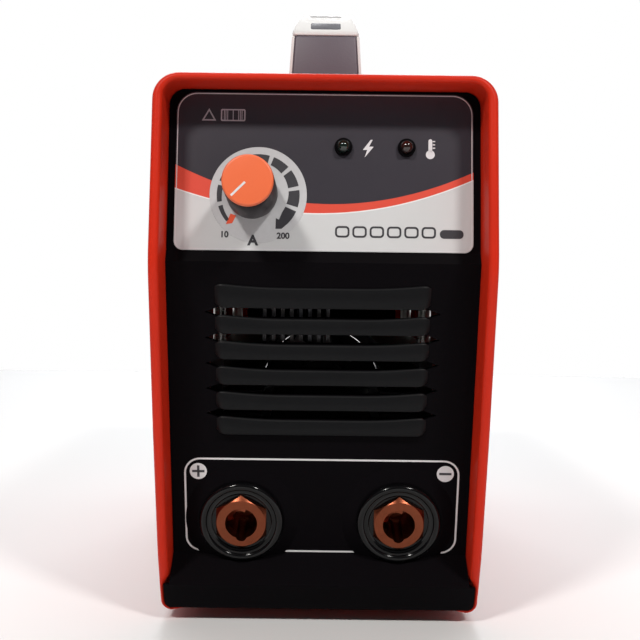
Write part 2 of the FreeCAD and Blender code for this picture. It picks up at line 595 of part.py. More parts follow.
def handle():
    """Two legs and a bar in dark plastic, with a light cap that slopes down over both shoulders."""
    body = new_body("handle_body")
    front, back = "handle_front", "handle_back"
    bar = polygon(new_sketch(body, "YZ_Plane"), [
        (front, "handle_seat"), (f"{front} + leg_long", "handle_seat"),
        (f"{front} + leg_long + leg_step", "handle_under"), (f"{back} - leg_long - leg_step", "handle_under"),
        (f"{back} - leg_long", "handle_seat"), (back, "handle_seat"),
        (f"{back} - leg_lean", "handle_split"), (f"{front} + leg_lean", "handle_split")])
    pad(body, bar, "2 * handle_half", middle=True)
    round_off(body, "2 * handle_edge", lambda a, b: abs(a.x - b.x) > 10 and near(a.z, "handle_under"))
    round_off(body, "handle_edge", lambda a, b: abs(a.x - b.x) < 0.01 and near(abs(a.x), "handle_half")
              and (near(a.y, front) or near(a.y, back) or near(b.y, front) or near(b.y, back))
              and abs(a.z - b.z) > 10)
    holes = new_sketch(body, "XY_Plane", ("0", "0", "handle_seat"))
    for y in handle_screw_places():
        circle(holes, "0", y, "pin_bore")
    pocket(body, holes, "2 * leg_long", middle=True)

    cap = new_body("handle_grip")
    low = "handle_split + gap / 2"
    slope = polygon(new_sketch(cap, "YZ_Plane"), [
        (f"{front} + leg_lean + gap", low), (f"{back} - leg_lean - gap", low),
        (f"{back} - leg_lean - shoulder", "handle_top"), (f"{front} + leg_lean + shoulder", "handle_top")])
    pad(cap, slope, "2 * grip_half", middle=True)
    round_off(cap, "handle_edge", lambda a, b: near(a.z, "handle_top") and near(b.z, "handle_top"))
    seat = new_sketch(cap, "YZ_Plane")
    middle = "(handle_split + handle_top) / 2"
    rectangle(seat, f"{front}", f"{middle} - trim_tall / 2", f"{front} + shoulder", f"{middle} + trim_tall / 2")
    pocket(cap, seat, "2 * trim_half", middle=True)

    trim = new_body("handle_trim")
    insert = new_sketch(trim, "YZ_Plane")
    rise = f"({front} + leg_lean + shoulder / 2 + trim_tall + gap)"
    rectangle(insert, rise, f"{middle} - trim_tall / 2 + gap", f"{front} + shoulder - gap",
              f"{middle} + trim_tall / 2 - gap")
    pad(trim, insert, "2 * (trim_half - gap)", middle=True)

    screws = []
    for y in handle_screw_places():
        head = rod("screw_head", "head_tall", ("0", y, "cover_top - sheet - head_tall"))
        shank = rod("pin_radius", "handle_screw", ("0", y, "cover_top - sheet"))
        screws.append(joined(head, shank))
    sub_part("handle_screws", group(*screws))
    pads = [without(block(("-handle_half", start, "cover_top"), ("handle_half", end, "handle_seat")),
                    rod("pin_bore", "through", ("0", y, "cover_top - handle_screw")))
            for start, end, y in ((front, f"{front} + leg_long", handle_screw_places()[0]),
                                  (f"{back} - leg_long", back, handle_screw_places()[1]))]
    sub_part("handle_gaskets", group(*pads))


# ---- Rear ----

def rear_bezel():
    """Moulded frame around the rear panel, with a ledge that the panel is screwed to."""
    body = new_body("rear_bezel")
    outer = rectangle(new_sketch(body, "XZ_Plane"), "-case_half", "case_foot", "case_half", "case_top")
    pad(body, outer, "rear_end - cover_back")
    lengthwise = lambda a, b: abs(a.y - b.y) > 10
    round_off(body, "rear_round", lambda a, b: lengthwise(a, b) and near(a.z, "case_top"))
    round_off(body, "toe_round", lambda a, b: lengthwise(a, b) and near(a.z, "case_foot"))
    round_off(body, "wall / 2", lambda a, b: near(a.y, "cover_back - rear_end") and near(b.y, "cover_back - rear_end"))
    bind_placement(body, "Placement", ("0", "rear_end", "0"))
    ledge = new_sketch(body, "XZ_Plane")
    rectangle(ledge, "4 * wall - case_half", "case_foot + 3 * wall", "case_half - 4 * wall", "case_top - 3 * wall")
    pocket(body, ledge, "4 * rear_end", middle=True)
    mouth = rectangle(new_sketch(body, "XZ_Plane", ("0", "0", "0")), "wall - case_half", "case_foot + wall",
                      "case_half - wall", "case_top - wall")
    pocket(body, mouth, "rear_end - rear_panel_y", middle=False, back=True)
    holes = new_sketch(body, "XZ_Plane")
    for x, z in corner_places():
        circle(holes, x, z, "pin_bore")
    pocket(body, holes, "4 * rear_end", middle=True)
    return body


def corner_places():
    """Screw places at the rear panel's corners."""
    return [(side + "(case_half - 2.5 * wall)", z)
            for side in ("", "-") for z in ("case_foot + 2 * wall", "case_top - 2 * wall")]


def rear_panel():
    """Black plate with the fan's opening and the holes for switch, gland, earth stud and screws."""
    body = new_body("rear_panel")
    edge = "(case_half - wall - gap)"
    plate = rectangle(new_sketch(body, "XZ_Plane"), "-" + edge, "case_foot + wall + gap", edge,
                      "case_top - wall - gap")
    pad(body, plate, "rear_plate")
    bind_placement(body, "Placement", ("0", "rear_panel_y + rear_plate", "0"))
    holes = new_sketch(body, "XZ_Plane")
    circle(holes, "0", "fan_z", "fan_bore")
    circle(holes, "gland_x", "gland_z", "gland_thread + hair")
    circle(holes, "earth_x", "earth_z", "earth_radius + hair")
    for x, z in corner_places() + fan_places():
        circle(holes, x, z, "pin_bore")
    rectangle(holes, "switch_x - switch_half - gap", "switch_z - switch_tall - gap",
              "switch_x + switch_half + gap", "switch_z + switch_tall + gap")
    pocket(body, holes, "4 * rear_plate", middle=True)
    return body


def fan_places():
    return [(x, z) for x in ("-fan_holes", "fan_holes") for z in ("fan_z - fan_holes", "fan_z + fan_holes")]


def rear_screws():
    """Corner screws of the rear panel and the four long fan screws."""
    face = "(rear_panel_y + rear_plate)"
    corner = [joined(along_y("screw_head", "thin_head", x, face, z),
                     along_y("pin_radius", "short_screw", x, f"{face} - short_screw", z))
              for x, z in corner_places()]
    sub_part("rear_panel_screws", group(*corner))
    front = f"{face} + guard_out + 2 * wire"
    long_screws = [joined(along_y("screw_head", "thin_head", x, front, z),
                          along_y("pin_radius", "fan_screw", x, f"{front} - fan_screw", z)) for x, z in fan_places()]
    sub_part("fan_screws", group(*long_screws))


def fan():
    """Square fan frame with its motor struts, the rotor, and the wire guard outside the panel."""
    start = "rear_panel_y - fan_deep - gap"
    frame = block(("-fan_half", start, "fan_z - fan_half"),
                  ("fan_half", "rear_panel_y - gap", "fan_z + fan_half"))
    tunnel = along_y("fan_bore", "2 * fan_deep", "0", f"{start} - gap", "fan_z")
    holes = [along_y("pin_bore", "2 * fan_deep", x, f"{start} - gap", z) for x, z in fan_places()]
    seat = along_y("fan_hub", "strut", "0", start, "fan_z")
    struts = [block(("-fan_bore - 1", start, "fan_z - strut / 2"),
                    ("fan_bore + 1", f"{start} + strut", "fan_z + strut / 2")),
              block(("-strut / 2", start, "fan_z - fan_bore - 1"),
                    ("strut / 2", f"{start} + strut", "fan_z + fan_bore + 1"))]
    pin = along_y("pin_radius", "fan_deep / 2", "0", start, "fan_z")
    sub_part("fan_frame", joined(without(frame, tunnel, *holes), seat, *struts, pin))

    hub = along_y("fan_hub", "fan_deep - 3 * strut", "0", f"{start} + 2 * strut", "fan_z")
    blades = []
    for index in range(SIZES["blade_count"]):
        blade = block(("fan_hub - 1", "-blade_half", "-blade_thick / 2"),
                      ("blade_tip", "blade_half", "blade_thick / 2"))
        lean = FreeCAD.Rotation(Vector(1, 0, 0), value("blade_lean"))
        turn = FreeCAD.Rotation(Vector(0, 1, 0), 360 * index / SIZES["blade_count"])
        copy = DOC.addObject("Part::Compound", "blade")
        copy.Links = [blade]
        centre = Vector(0, value(f"{start} + 2 * strut + (fan_deep - 3 * strut) / 2"), value("fan_z"))
        copy.Placement = FreeCAD.Placement(centre, turn * lean)
        blades.append(copy)
    tip_limit = along_y("blade_tip", "fan_deep - 3 * strut", "0", f"{start} + 2 * strut", "fan_z")
    bore = along_y("pin_bore", "fan_deep / 2 + gap - strut", "0", f"{start} + strut", "fan_z")
    sub_part("fan_rotor", without(joined(hub, shared(joined(*blades), tip_limit)), bore))

    out = "rear_panel_y + rear_plate + wire"
    rings = [ring(f"guard_first + {index} * guard_pitch", "wire", ("0", out + " + wire", "fan_z"), -90)
             for index in range(SIZES["guard_rings"])]
    spokes = []
    for x_side in ("", "-"):
        for z_side in ("+", "-"):
            eye = ring("pin_radius + 1.5 * wire", "wire",
                       (x_side + "fan_holes", out + " + wire", f"fan_z {z_side} fan_holes"), -90)
            spokes.append(eye)
    bars = []
    for angle in (45, -45):
        bar = primitive("Part::Cylinder", ("0", out + " + wire", "fan_z"), angle, "y",
                        Radius="wire", Height="fan_holes * sqrt(2) - pin_radius - wire")
        back = primitive("Part::Cylinder", ("0", out + " + wire", "fan_z"), angle + 180, "y",
                         Radius="wire", Height="fan_holes * sqrt(2) - pin_radius - wire")
        bars += [bar, back]
    sub_part("fan_guard", joined(*rings, *spokes, *bars))


def power_switch():
    """Flanged switch frame with a deep well, and the rocker that tilts in it about a cross axle."""
    face = "(rear_panel_y + rear_plate)"
    flange = block(("switch_x - flange_half", face, "switch_z - flange_tall"),
                   ("switch_x + flange_half", f"{face} + flange_thick", "switch_z + flange_tall"))
    housing = block(("switch_x - switch_half", f"{face} - switch_deep", "switch_z - switch_tall"),
                    ("switch_x + switch_half", face, "switch_z + switch_tall"))
    well = block(("switch_x - rocker_half - gap", f"{face} + flange_thick - well_deep", "switch_z - well"),
                 ("switch_x + rocker_half + gap", f"{face} + 2 * flange_thick", "switch_z + well"))
    axle = rod("axle_radius", "2 * (rocker_half + 1)", ("switch_x - rocker_half - 1", face, "switch_z"), 90, "y")
    sub_part("power_switch_frame", joined(without(joined(flange, housing), well), axle))

    round_body = rod("rocker_radius", "2 * rocker_half", ("switch_x - rocker_half", face, "switch_z"), 90, "y")
    slab = DOC.addObject("Part::Box", "solid")
    bind(slab, Length="2 * rocker_half + 2", Width="rocker_face + rocker_radius / 2", Height="4 * rocker_radius")
    slab.Placement = FreeCAD.Placement(
        Vector(-value("rocker_half") - 1, -value("rocker_radius / 2"), -value("2 * rocker_radius")),
        FreeCAD.Rotation())
    leaning = DOC.addObject("Part::Compound", "slab")
    leaning.Links = [slab]
    leaning.Placement = FreeCAD.Placement(Vector(value("switch_x"), value(face), value("switch_z")),
                                          FreeCAD.Rotation(Vector(1, 0, 0), value("rocker_lean")))
    hole = rod("axle_radius + hair", "4 * rocker_half", ("switch_x - 2 * rocker_half", face, "switch_z"), 90, "y")
    sub_part("switch_rocker", without(shared(round_body, leaning), hole))


def cable_gland():
    """Gland body through the panel, its cap nut outside and its locknut inside."""
    face = "(rear_panel_y + rear_plate)"
    x, z = "gland_x", "gland_z"
    thread = along_y("gland_thread", "gland_inner + rear_plate + gland_flange + gland_reach", x,
                     "rear_panel_y - gland_inner", z)
    collar = hexagon("gland_hex", "gland_flange", (x, face, z), -90)
    bore = along_y("gland_bore + gland_wall", "through", x, "rear_panel_y - through / 3", z)
    sub_part("cable_gland_body", without(joined(thread, collar), bore))
    nut_start = f"{face} + gland_flange + gap"
    barrel = hexagon("gland_hex", "gland_grip", (x, nut_start, z), -90)
    dome_start = f"({nut_start} + gland_grip)"
    dome = cone("gland_hex - gland_lip / 2", "gland_bore + gland_lip", f"gland_tip - {dome_start}",
                (x, dome_start, z), -90)
    inner = along_y("gland_thread + hair", "gland_reach + gap", x, f"{nut_start} - hair", z)
    mouth = along_y("gland_bore", "through", x, "rear_panel_y", z)
    sub_part("cable_gland_nut", without(joined(barrel, dome), inner, mouth))
    lock = hexagon("gland_hex", "nut_tall", (x, "rear_panel_y - nut_tall - gap", z), -90)
    lock_bore = along_y("gland_thread + hair", "through", x, "rear_panel_y - through / 2", z)
    sub_part("gland_locknut", without(lock, lock_bore))


def earth_terminal():
    """Threaded stud with a nut inside and one outside, and a free end that takes the lug."""
    x, z = "earth_x", "earth_z"
    threaded = along_y("earth_radius", "earth_tip - earth_free - rear_panel_y + earth_deep", x,
                       "rear_panel_y - earth_deep", z)
    free = along_y("earth_radius - earth_relief", "earth_free", x, "earth_tip - earth_free", z)
    sub_part("earth_stud", joined(threaded, free))
    nuts = []
    for start in ("rear_panel_y - nut_tall - gap", "rear_panel_y + rear_plate + gap"):
        nut = hexagon("nut_radius", "nut_tall", (x, start, z), -90)
        nuts.append(without(nut, along_y("earth_radius + hair", "through", x, "rear_panel_y - through / 2", z)))
    sub_part("earth_nuts", group(*nuts))


# ---- Inside ----

def boards():
    """Power board on posts, and the driver board above the heatsinks."""
    sub_part("main_board", block(("-pcb_half", "pcb_front", "pcb_z"), ("pcb_half", "pcb_back", "pcb_z + board_thick")))
    sub_part("driver_board", block(("-driver_half", "driver_front", "driver_z"),
                                   ("driver_half", "driver_back", "driver_z + board_thick")))
    posts = []
    for x in ("-", ""):
        for y in ("pcb_front + post_inset", "pcb_back - post_inset"):
            posts.append(rod("post_radius", "pcb_z - case_foot - tray_floor",
                             (x + "(pcb_half - 2 * post_inset)", y, "case_foot + tray_floor")))
        for y in ("-sink_y + post_inset", "sink_y - post_inset"):
            posts.append(rod("post_radius", "driver_z - sink_high", (x + "(sink_x + sink_base / 2)", y, "sink_high")))
    sub_part("board_standoffs", group(*posts))


def side_heatsink(name, side):
    """Upright base plate with level fins towards the middle of the case."""
    body = new_body(name)
    outline = new_sketch(body, "XZ_Plane")
    rectangle(outline, "sink_x", "sink_low", "sink_x + sink_base", "sink_high")
    pad(body, outline, "2 * sink_y", middle=True)
    fin = rectangle(new_sketch(body, "XZ_Plane"), "sink_x - fin_long", "sink_low", "sink_x", "sink_low + fin_thick")
    row = pad(body, fin, "2 * sink_y", middle=True)
    pattern(body, row, fin, "sink_high - sink_low - fin_thick", "fin_count")
    if side < 0:
        body.Placement = FreeCAD.Placement(Vector(), FreeCAD.Rotation(Vector(0, 0, 1), 180))


def upper_heatsink():
    """Hanging heatsink behind the louvre: a level base with upright teeth."""
    base = block(("upper_x", "upper_front", "upper_high"), ("upper_x + upper_wide", "upper_back", "driver_z"))
    teeth = []
    for index in range(SIZES["tooth_count"]):
        x = f"upper_x + {index} * (upper_wide - tooth) / (tooth_count - 1)"
        teeth.append(block((x, "upper_front", "upper_low"), (f"{x} + tooth", "upper_back", "upper_high")))
    sub_part("upper_heatsink", joined(base, *teeth))


def magnetics():
    """Transformer with its two-window core and coil, and the output choke."""
    body = new_body("transformer_core")
    outline = rectangle(new_sketch(body, "XZ_Plane"), "-core_half", "core_low", "core_half", "core_high")
    pad(body, outline, "2 * core_y", middle=True)
    windows = new_sketch(body, "XZ_Plane")
    for near_x, far_x in (("-core_half + yoke", "-limb"), ("limb", "core_half - yoke")):
        rectangle(windows, near_x, "core_low + yoke", far_x, "core_high - yoke")
    pocket(body, windows, "4 * core_y", middle=True)
    low, high = "core_low + yoke + gap", "core_high - yoke - gap"
    coil = without(block(("-coil_half", "-coil_y", low), ("coil_half", "coil_y", high)),
                   block(("-limb - gap", "-core_y - gap", "core_low"), ("limb + gap", "core_y + gap", "core_high")))
    sub_part("transformer_winding", coil)
    sub_part("output_choke", ring("choke_ring", "choke_wire", ("0", "choke_y", "choke_z"), -90))


def components():
    """Capacitors, power transistors, diodes, rectifier and relay."""
    top = "pcb_z + board_thick"
    cans = [rod("cap_can", "can_tall", (f"{step} * can_pitch", "can_y", top)) for step in (-1, 0, 1)]
    sub_part("capacitors", group(*cans))
    for name, side in (("power_transistors", "-"), ("output_diodes", "")):
        chips = []
        for index in range(SIZES["chip_count"]):
            y = f"({index} - (chip_count - 1) / 2) * chip_pitch"
            inner, outer = "sink_x + sink_base", "sink_x + sink_base + chip_thick"
            low_x, high_x = (f"-({outer})", f"-({inner})") if side else (inner, outer)
            chips.append(block((low_x, f"{y} - chip_wide / 2", "chip_z"),
                               (high_x, f"{y} + chip_wide / 2", "chip_z + chip_tall")))
        sub_part(name, group(*chips))
    for name, side in (("bridge_rectifier", "-"), ("soft_start_relay", "")):
        middle = side + "block_x"
        sub_part(name, block((f"{middle} - block_wide / 2", "block_y - block_long / 2", top),
                             (f"{middle} + block_wide / 2", "block_y + block_long / 2", f"{top} + block_tall")))


def check_document():
    """Stops the script on any failed object or unusable shape."""
    DOC.recompute()
    failed = [f"{thing.Label} {thing.State}" for thing in DOC.Objects
              if "Invalid" in thing.State or "Error" in thing.State]
    for thing in SUB_PARTS:
        if thing.Shape.isNull() or not thing.Shape.isValid() or not thing.Shape.Solids:
            failed.append(f"{thing.Label} shape")
    if failed:
        raise RuntimeError("; ".join(failed))


def main():
    fill_sheet()
    front_bezel()
    front_panel()
    control_label()
    dial_ring()
    lamps()
    potentiometer()
    current_knob()
    control_board()
    output_sockets()
    main_cover()
    base_tray()
    cover_screws()
    feet()
    handle()
    rear_bezel()
    rear_panel()
    rear_screws()
    fan()
    power_switch()
    cable_gland()
    earth_terminal()
    boards()
    side_heatsink("left_heatsink", -1)
    side_heatsink("right_heatsink", 1)
    upper_heatsink()
    magnetics()
    components()
    check_document()
    os.makedirs("parts", exist_ok=True)
    for thing in SUB_PARTS:
        thing.Shape.exportStep(f"parts/{thing.Label}.step")
        box = thing.Shape.BoundBox
        print(f"{thing.Label:22s} solids {len(thing.Shape.Solids)} x {box.XMin:.1f} {box.XMax:.1f} "
              f"y {box.YMin:.1f} {box.YMax:.1f} z {box.ZMin:.1f} {box.ZMax:.1f}")


main()
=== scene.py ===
import json
import logging
import math
from dataclasses import dataclass
from enum import Enum
from typing import Sequence

import bmesh
import bpy
from mathutils import Matrix, Vector


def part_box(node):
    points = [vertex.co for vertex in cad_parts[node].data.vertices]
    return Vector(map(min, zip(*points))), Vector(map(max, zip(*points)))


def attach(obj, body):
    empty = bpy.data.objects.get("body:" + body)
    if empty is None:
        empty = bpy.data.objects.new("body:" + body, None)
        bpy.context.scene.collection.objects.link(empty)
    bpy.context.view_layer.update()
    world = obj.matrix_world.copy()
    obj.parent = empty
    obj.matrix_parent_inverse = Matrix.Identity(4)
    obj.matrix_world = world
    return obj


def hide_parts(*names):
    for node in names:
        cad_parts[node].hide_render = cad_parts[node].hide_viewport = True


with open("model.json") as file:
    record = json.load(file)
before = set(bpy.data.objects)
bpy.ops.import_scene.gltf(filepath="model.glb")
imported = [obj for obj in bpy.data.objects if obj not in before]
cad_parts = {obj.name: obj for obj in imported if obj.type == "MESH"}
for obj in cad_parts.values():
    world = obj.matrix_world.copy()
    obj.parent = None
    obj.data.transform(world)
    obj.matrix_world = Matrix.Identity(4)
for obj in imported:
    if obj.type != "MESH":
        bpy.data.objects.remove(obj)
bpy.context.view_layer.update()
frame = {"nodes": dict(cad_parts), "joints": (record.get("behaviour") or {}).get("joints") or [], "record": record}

logging.basicConfig(level=logging.INFO, format="%(message)s")
log = logging.getLogger("inverter")

MM = 0.001
Point = tuple[float, float]
Colour = tuple[float, float, float]


# ---------------------------------------------------------------- shader maths

class Value:
    """One output socket that varies over a surface, with arithmetic."""

    def __init__(self, shader: "Shader", socket: bpy.types.NodeSocket) -> None:
        """Keeps the socket and the shader it belongs to."""
        self.shader = shader
        self.socket = socket

    def _math(self, operation: str, *others: "Value | float") -> "Value":
        """Adds one Math node that reads this socket first."""
        inputs = {index: other for index, other in enumerate((self, *others))}
        return self.shader.value("ShaderNodeMath", {"operation": operation}, inputs)

    def __add__(self, other: "Value | float") -> "Value":
        """This plus other."""
        return self._math("ADD", other)

    __radd__ = __add__

    def __mul__(self, other: "Value | float") -> "Value":
        """This times other."""
        return self._math("MULTIPLY", other)

    __rmul__ = __mul__

    def __sub__(self, other: "Value | float") -> "Value":
        """This minus other."""
        return self._math("SUBTRACT", other)

    def __rsub__(self, other: float) -> "Value":
        """Other minus this."""
        return (self * -1.0) + other

    def __truediv__(self, other: "Value | float") -> "Value":
        """This over other."""
        return self._math("DIVIDE", other)

    def sine(self) -> "Value":
        """The sine of this, in radians."""
        return self._math("SINE")

    def root(self) -> "Value":
        """The square root of this."""
        return self._math("SQRT")

    def highest(self, other: "Value | float") -> "Value":
        """The larger of this and other."""
        return self._math("MAXIMUM", other)

    def lowest(self, other: "Value | float") -> "Value":
        """The smaller of this and other."""
        return self._math("MINIMUM", other)

    def above(self, edge: "Value | float", blur: float) -> "Value":
        """A mask that is 1 where this is above edge, over a soft step of width blur."""
        rise = (self - edge) / blur + 0.5
        return rise.highest(0.0).lowest(1.0)

    def below(self, edge: "Value | float", blur: float) -> "Value":
        """A mask that is 1 where this is below edge."""
        return 1.0 - self.above(edge, blur)


class Shader:
    """One material's node tree, with a Principled surface."""

    def __init__(self, name: str) -> None:
        """Makes an empty material of that name."""
        self.material = bpy.data.materials.new(name)
        self.material.use_nodes = True
        self.tree = self.material.node_tree
        self.tree.nodes.clear()
        self.surface = self.tree.nodes.new("ShaderNodeBsdfPrincipled")
        output = self.tree.nodes.new("ShaderNodeOutputMaterial")
        self.tree.links.new(self.surface.outputs[0], output.inputs[0])

    def node(self, kind: str, settings: dict, inputs: dict) -> bpy.types.Node:
        """Adds a node.

        Args:
            kind: the node's type.
            settings: its properties, set first.
            inputs: socket name or index to a number, colour, Value or socket.

        Returns:
            The new node.
        """
        node = self.tree.nodes.new(kind)
        for name, setting in settings.items():
            setattr(node, name, setting)
        for name, item in inputs.items():
            self.feed(node.inputs[name], item)
        return node

    def feed(self, socket: bpy.types.NodeSocket, item: object) -> None:
        """Links a Value or socket to an input, or sets its constant."""
        if isinstance(item, Value):
            self.tree.links.new(item.socket, socket)
        elif isinstance(item, bpy.types.NodeSocket):
            self.tree.links.new(item, socket)
        elif isinstance(item, tuple) and len(item) == 3 and socket.type == "RGBA":
            socket.default_value = (*item, 1.0)
        else:
            socket.default_value = item

    def value(self, kind: str, settings: dict, inputs: dict) -> Value:
        """Adds a node and returns its first output as a Value."""
        return Value(self, self.node(kind, settings, inputs).outputs[0])

    def place(self) -> bpy.types.NodeSocket:
        """The surface's place in the object's frame, in metres."""
        return self.node("ShaderNodeTexCoord", {}, {}).outputs["Object"]

    def axes(self) -> tuple[Value, Value, Value]:
        """The three coordinates of that place."""
        split = self.node("ShaderNodeSeparateXYZ", {}, {0: self.place()})
        return tuple(Value(self, split.outputs[index]) for index in range(3))

    def stretched(self, scale: Sequence[float]) -> bpy.types.NodeSocket:
        """The place with each axis scaled."""
        return self.node("ShaderNodeMapping", {}, {"Vector": self.place(), "Scale": tuple(scale)}).outputs[0]

    def noise(self, size: float, detail: float = 3.0, roughness: float = 0.55,
              where: bpy.types.NodeSocket | None = None) -> Value:
        """Noise from 0 to 1 whose features measure about size metres."""
        inputs = {"Vector": where or self.place(), "Scale": 1.0 / size, "Detail": detail,
                  "Roughness": roughness}
        return self.value("ShaderNodeTexNoise", {"noise_dimensions": "3D"}, inputs)

    def cells(self, size: float, feature: str = "F1") -> Value:
        """Distance to the nearest of many scattered points about size metres apart, or to a cell's edge."""
        return self.value("ShaderNodeTexVoronoi", {"feature": feature},
                          {"Vector": self.place(), "Scale": 1.0 / size})

    def blend(self, mask: "Value | float", low: object, high: object) -> bpy.types.NodeSocket:
        """A colour between two colours."""
        node = self.node("ShaderNodeMix", {"data_type": "RGBA"}, {})
        colours = [socket for socket in node.inputs if socket.type == "RGBA"]
        self.feed(node.inputs[0], mask)
        self.feed(colours[0], low)
        self.feed(colours[1], high)
        return next(socket for socket in node.outputs if socket.type == "RGBA")

    def relief(self, height: Value, depth: float) -> None:
        """Bumps the surface by a height from 0 to 1, depth metres deep."""
        bump = self.node("ShaderNodeBump", {}, {"Height": height, "Distance": depth, "Strength": 1.0})
        self.feed(self.surface.inputs["Normal"], bump.outputs[0])

    def finish(self, **inputs: object) -> bpy.types.Material:
        """Sets the Principled inputs, with underscores for spaces, and returns the material."""
        for name, item in inputs.items():
            self.feed(self.surface.inputs[name.replace("_", " ")], item)
        return self.material


def shaded(colour: Colour, share: float) -> Colour:
    """A colour times a number."""
    return tuple(channel * share for channel in colour)


# ---------------------------------------------------------------- finishes

@dataclass(frozen=True)
class MouldedPlastic:
    """Injection-moulded plastic with a fine spark-eroded grain."""
    name: str
    colour: Colour
    roughness: float = 0.42
    grain: float = 0.00045
    depth: float = 0.00002
    mottle: float = 0.10
    coat: float = 0.0
    gloss: float = 0.5

    def material(self) -> bpy.types.Material:
        """Builds the node material."""
        shader = Shader(self.name)
        cloud = shader.noise(0.035, 4.0)
        dust = shader.noise(0.006, 6.0, 0.7)
        colour = shader.blend(cloud, shaded(self.colour, 1.0 - self.mottle),
                              shaded(self.colour, 1.0 + self.mottle))
        pits = shader.cells(self.grain) * 0.6 + shader.noise(self.grain * 2.2, 2.0) * 0.4
        shader.relief(pits, self.depth)
        rough = dust * 0.12 + (self.roughness - 0.06)
        return shader.finish(Base_Color=colour, Roughness=rough, Coat_Weight=self.coat, Coat_Roughness=0.12,
                             Specular_IOR_Level=self.gloss)


@dataclass(frozen=True)
class PowderCoat:
    """Baked powder paint on sheet steel, with a slight orange peel."""
    name: str
    colour: Colour
    roughness: float = 0.36

    def material(self) -> bpy.types.Material:
        """Builds the node material."""
        shader = Shader(self.name)
        peel = shader.noise(0.0016, 2.0, 0.4)
        haze = shader.noise(0.05, 5.0)
        scuff = shader.noise(0.0012, 4.0, 0.6, shader.stretched((1.0, 0.12, 1.0))).above(0.66, 0.06)
        colour = shader.blend(haze, shaded(self.colour, 0.93), shaded(self.colour, 1.07))
        shader.relief(peel, 0.00006)
        return shader.finish(Base_Color=shader.blend(scuff * 0.25, colour, shaded(self.colour, 1.4)),
                             Roughness=haze * 0.10 + scuff * 0.12 + (self.roughness - 0.05))


@dataclass(frozen=True)
class WorkedMetal:
    """Bare or plated metal with tool marks along one direction."""
    name: str
    colour: Colour
    roughness: float = 0.28
    marks: tuple[float, float, float] = (1.0, 1.0, 14.0)
    tarnish: Colour = (0.25, 0.20, 0.15)
    tarnish_share: float = 0.25

    def material(self) -> bpy.types.Material:
        """Builds the node material."""
        shader = Shader(self.name)
        lines = shader.noise(0.004, 3.0, 0.6, shader.stretched(self.marks))
        patches = shader.noise(0.007, 5.0, 0.65).above(0.55, 0.25)
        colour = shader.blend(patches * self.tarnish_share, self.colour, self.tarnish)
        shader.relief(lines, 0.00003)
        return shader.finish(Base_Color=colour, Metallic=1.0,
                             Roughness=lines * 0.14 + patches * 0.10 + (self.roughness - 0.09))


@dataclass(frozen=True)
class TurnedContact:
    """Socket metal faced on a lathe: rings about the socket's own axis."""
    name: str
    colour: Colour
    centres: tuple[Vector, ...]
    axis: Vector
    ring: float = 0.00035
    roughness: float = 0.30

    def material(self) -> bpy.types.Material:
        """Builds the node material."""
        shader = Shader(self.name)
        x, y, z = shader.axes()
        distance = None
        up = Vector((0.0, self.axis.z, -self.axis.y))
        for centre in self.centres:
            across = x - centre.x
            rise = y * up.y + z * up.z - (centre.y * up.y + centre.z * up.z)
            radius = (across * across + rise * rise).root()
            distance = radius if distance is None else distance.lowest(radius)
        rings = (distance * (2.0 * math.pi / self.ring)).sine() * 0.5 + 0.5
        stain = shader.noise(0.004, 5.0, 0.7)
        shader.relief(rings * 0.7 + stain * 0.3, 0.00002)
        colour = shader.blend(stain, shaded(self.colour, 0.72), shaded(self.colour, 1.15))
        return shader.finish(Base_Color=colour, Metallic=1.0, Roughness=stain * 0.18 + (self.roughness - 0.09))


@dataclass(frozen=True)
class PrintedFilm:
    """The control label: a dark field, a red swoosh with a white edge, and a light field below it.

    Both edges of the swoosh are parabolas about a place near the middle, and height is the knob's.
    """
    name: str
    height: float
    dark: Colour = (0.028, 0.024, 0.033)
    red: Colour = (0.68, 0.072, 0.042)
    light: Colour = (0.585, 0.59, 0.595)
    white: Colour = (0.80, 0.80, 0.80)
    low_middle: float = -0.003
    low_drop: float = 0.0068
    low_bends: tuple[float, float] = (3.7, 3.1)
    high_middle: float = 0.002
    high_drop: float = 0.0032
    high_bend: float = 4.15
    edge: float = 0.00045
    crisp: float = 0.00012

    def material(self) -> bpy.types.Material:
        """Builds the node material."""
        shader = Shader(self.name)
        x, _, z = shader.axes()
        right = (x - self.low_middle).highest(0.0)
        left = (x - self.low_middle).lowest(0.0)
        right_bend, left_bend = self.low_bends
        low_edge = right * right * right_bend + left * left * left_bend + (self.height - self.low_drop)
        shifted = x - self.high_middle
        high_edge = shifted * shifted * self.high_bend + (self.height - self.high_drop)
        grain = shader.noise(0.003, 2.0, 0.4)
        cloud = shader.noise(0.05, 3.0)
        dark = shader.blend(cloud, shaded(self.dark, 0.88), shaded(self.dark, 1.12))
        light = shader.blend(cloud, shaded(self.light, 0.95), shaded(self.light, 1.05))
        colour = shader.blend(z.above(low_edge, self.crisp), self.white, self.red)
        colour = shader.blend(z.above(high_edge, self.crisp), colour, dark)
        colour = shader.blend(z.below(low_edge - self.edge, self.crisp), colour, light)
        shader.relief(grain, 0.0000008)
        return shader.finish(Base_Color=colour, Roughness=grain * 0.06 + 0.34)


@dataclass(frozen=True)
class Ink:
    """Screen-printed ink with a slightly uneven film."""
    name: str
    colour: Colour
    roughness: float = 0.45

    def material(self) -> bpy.types.Material:
        """Builds the node material."""
        shader = Shader(self.name)
        film = shader.noise(0.0014, 4.0)
        shader.relief(film, 0.00001)
        return shader.finish(Base_Color=shader.blend(film, shaded(self.colour, 0.9), self.colour),
                             Roughness=film * 0.12 + (self.roughness - 0.06))


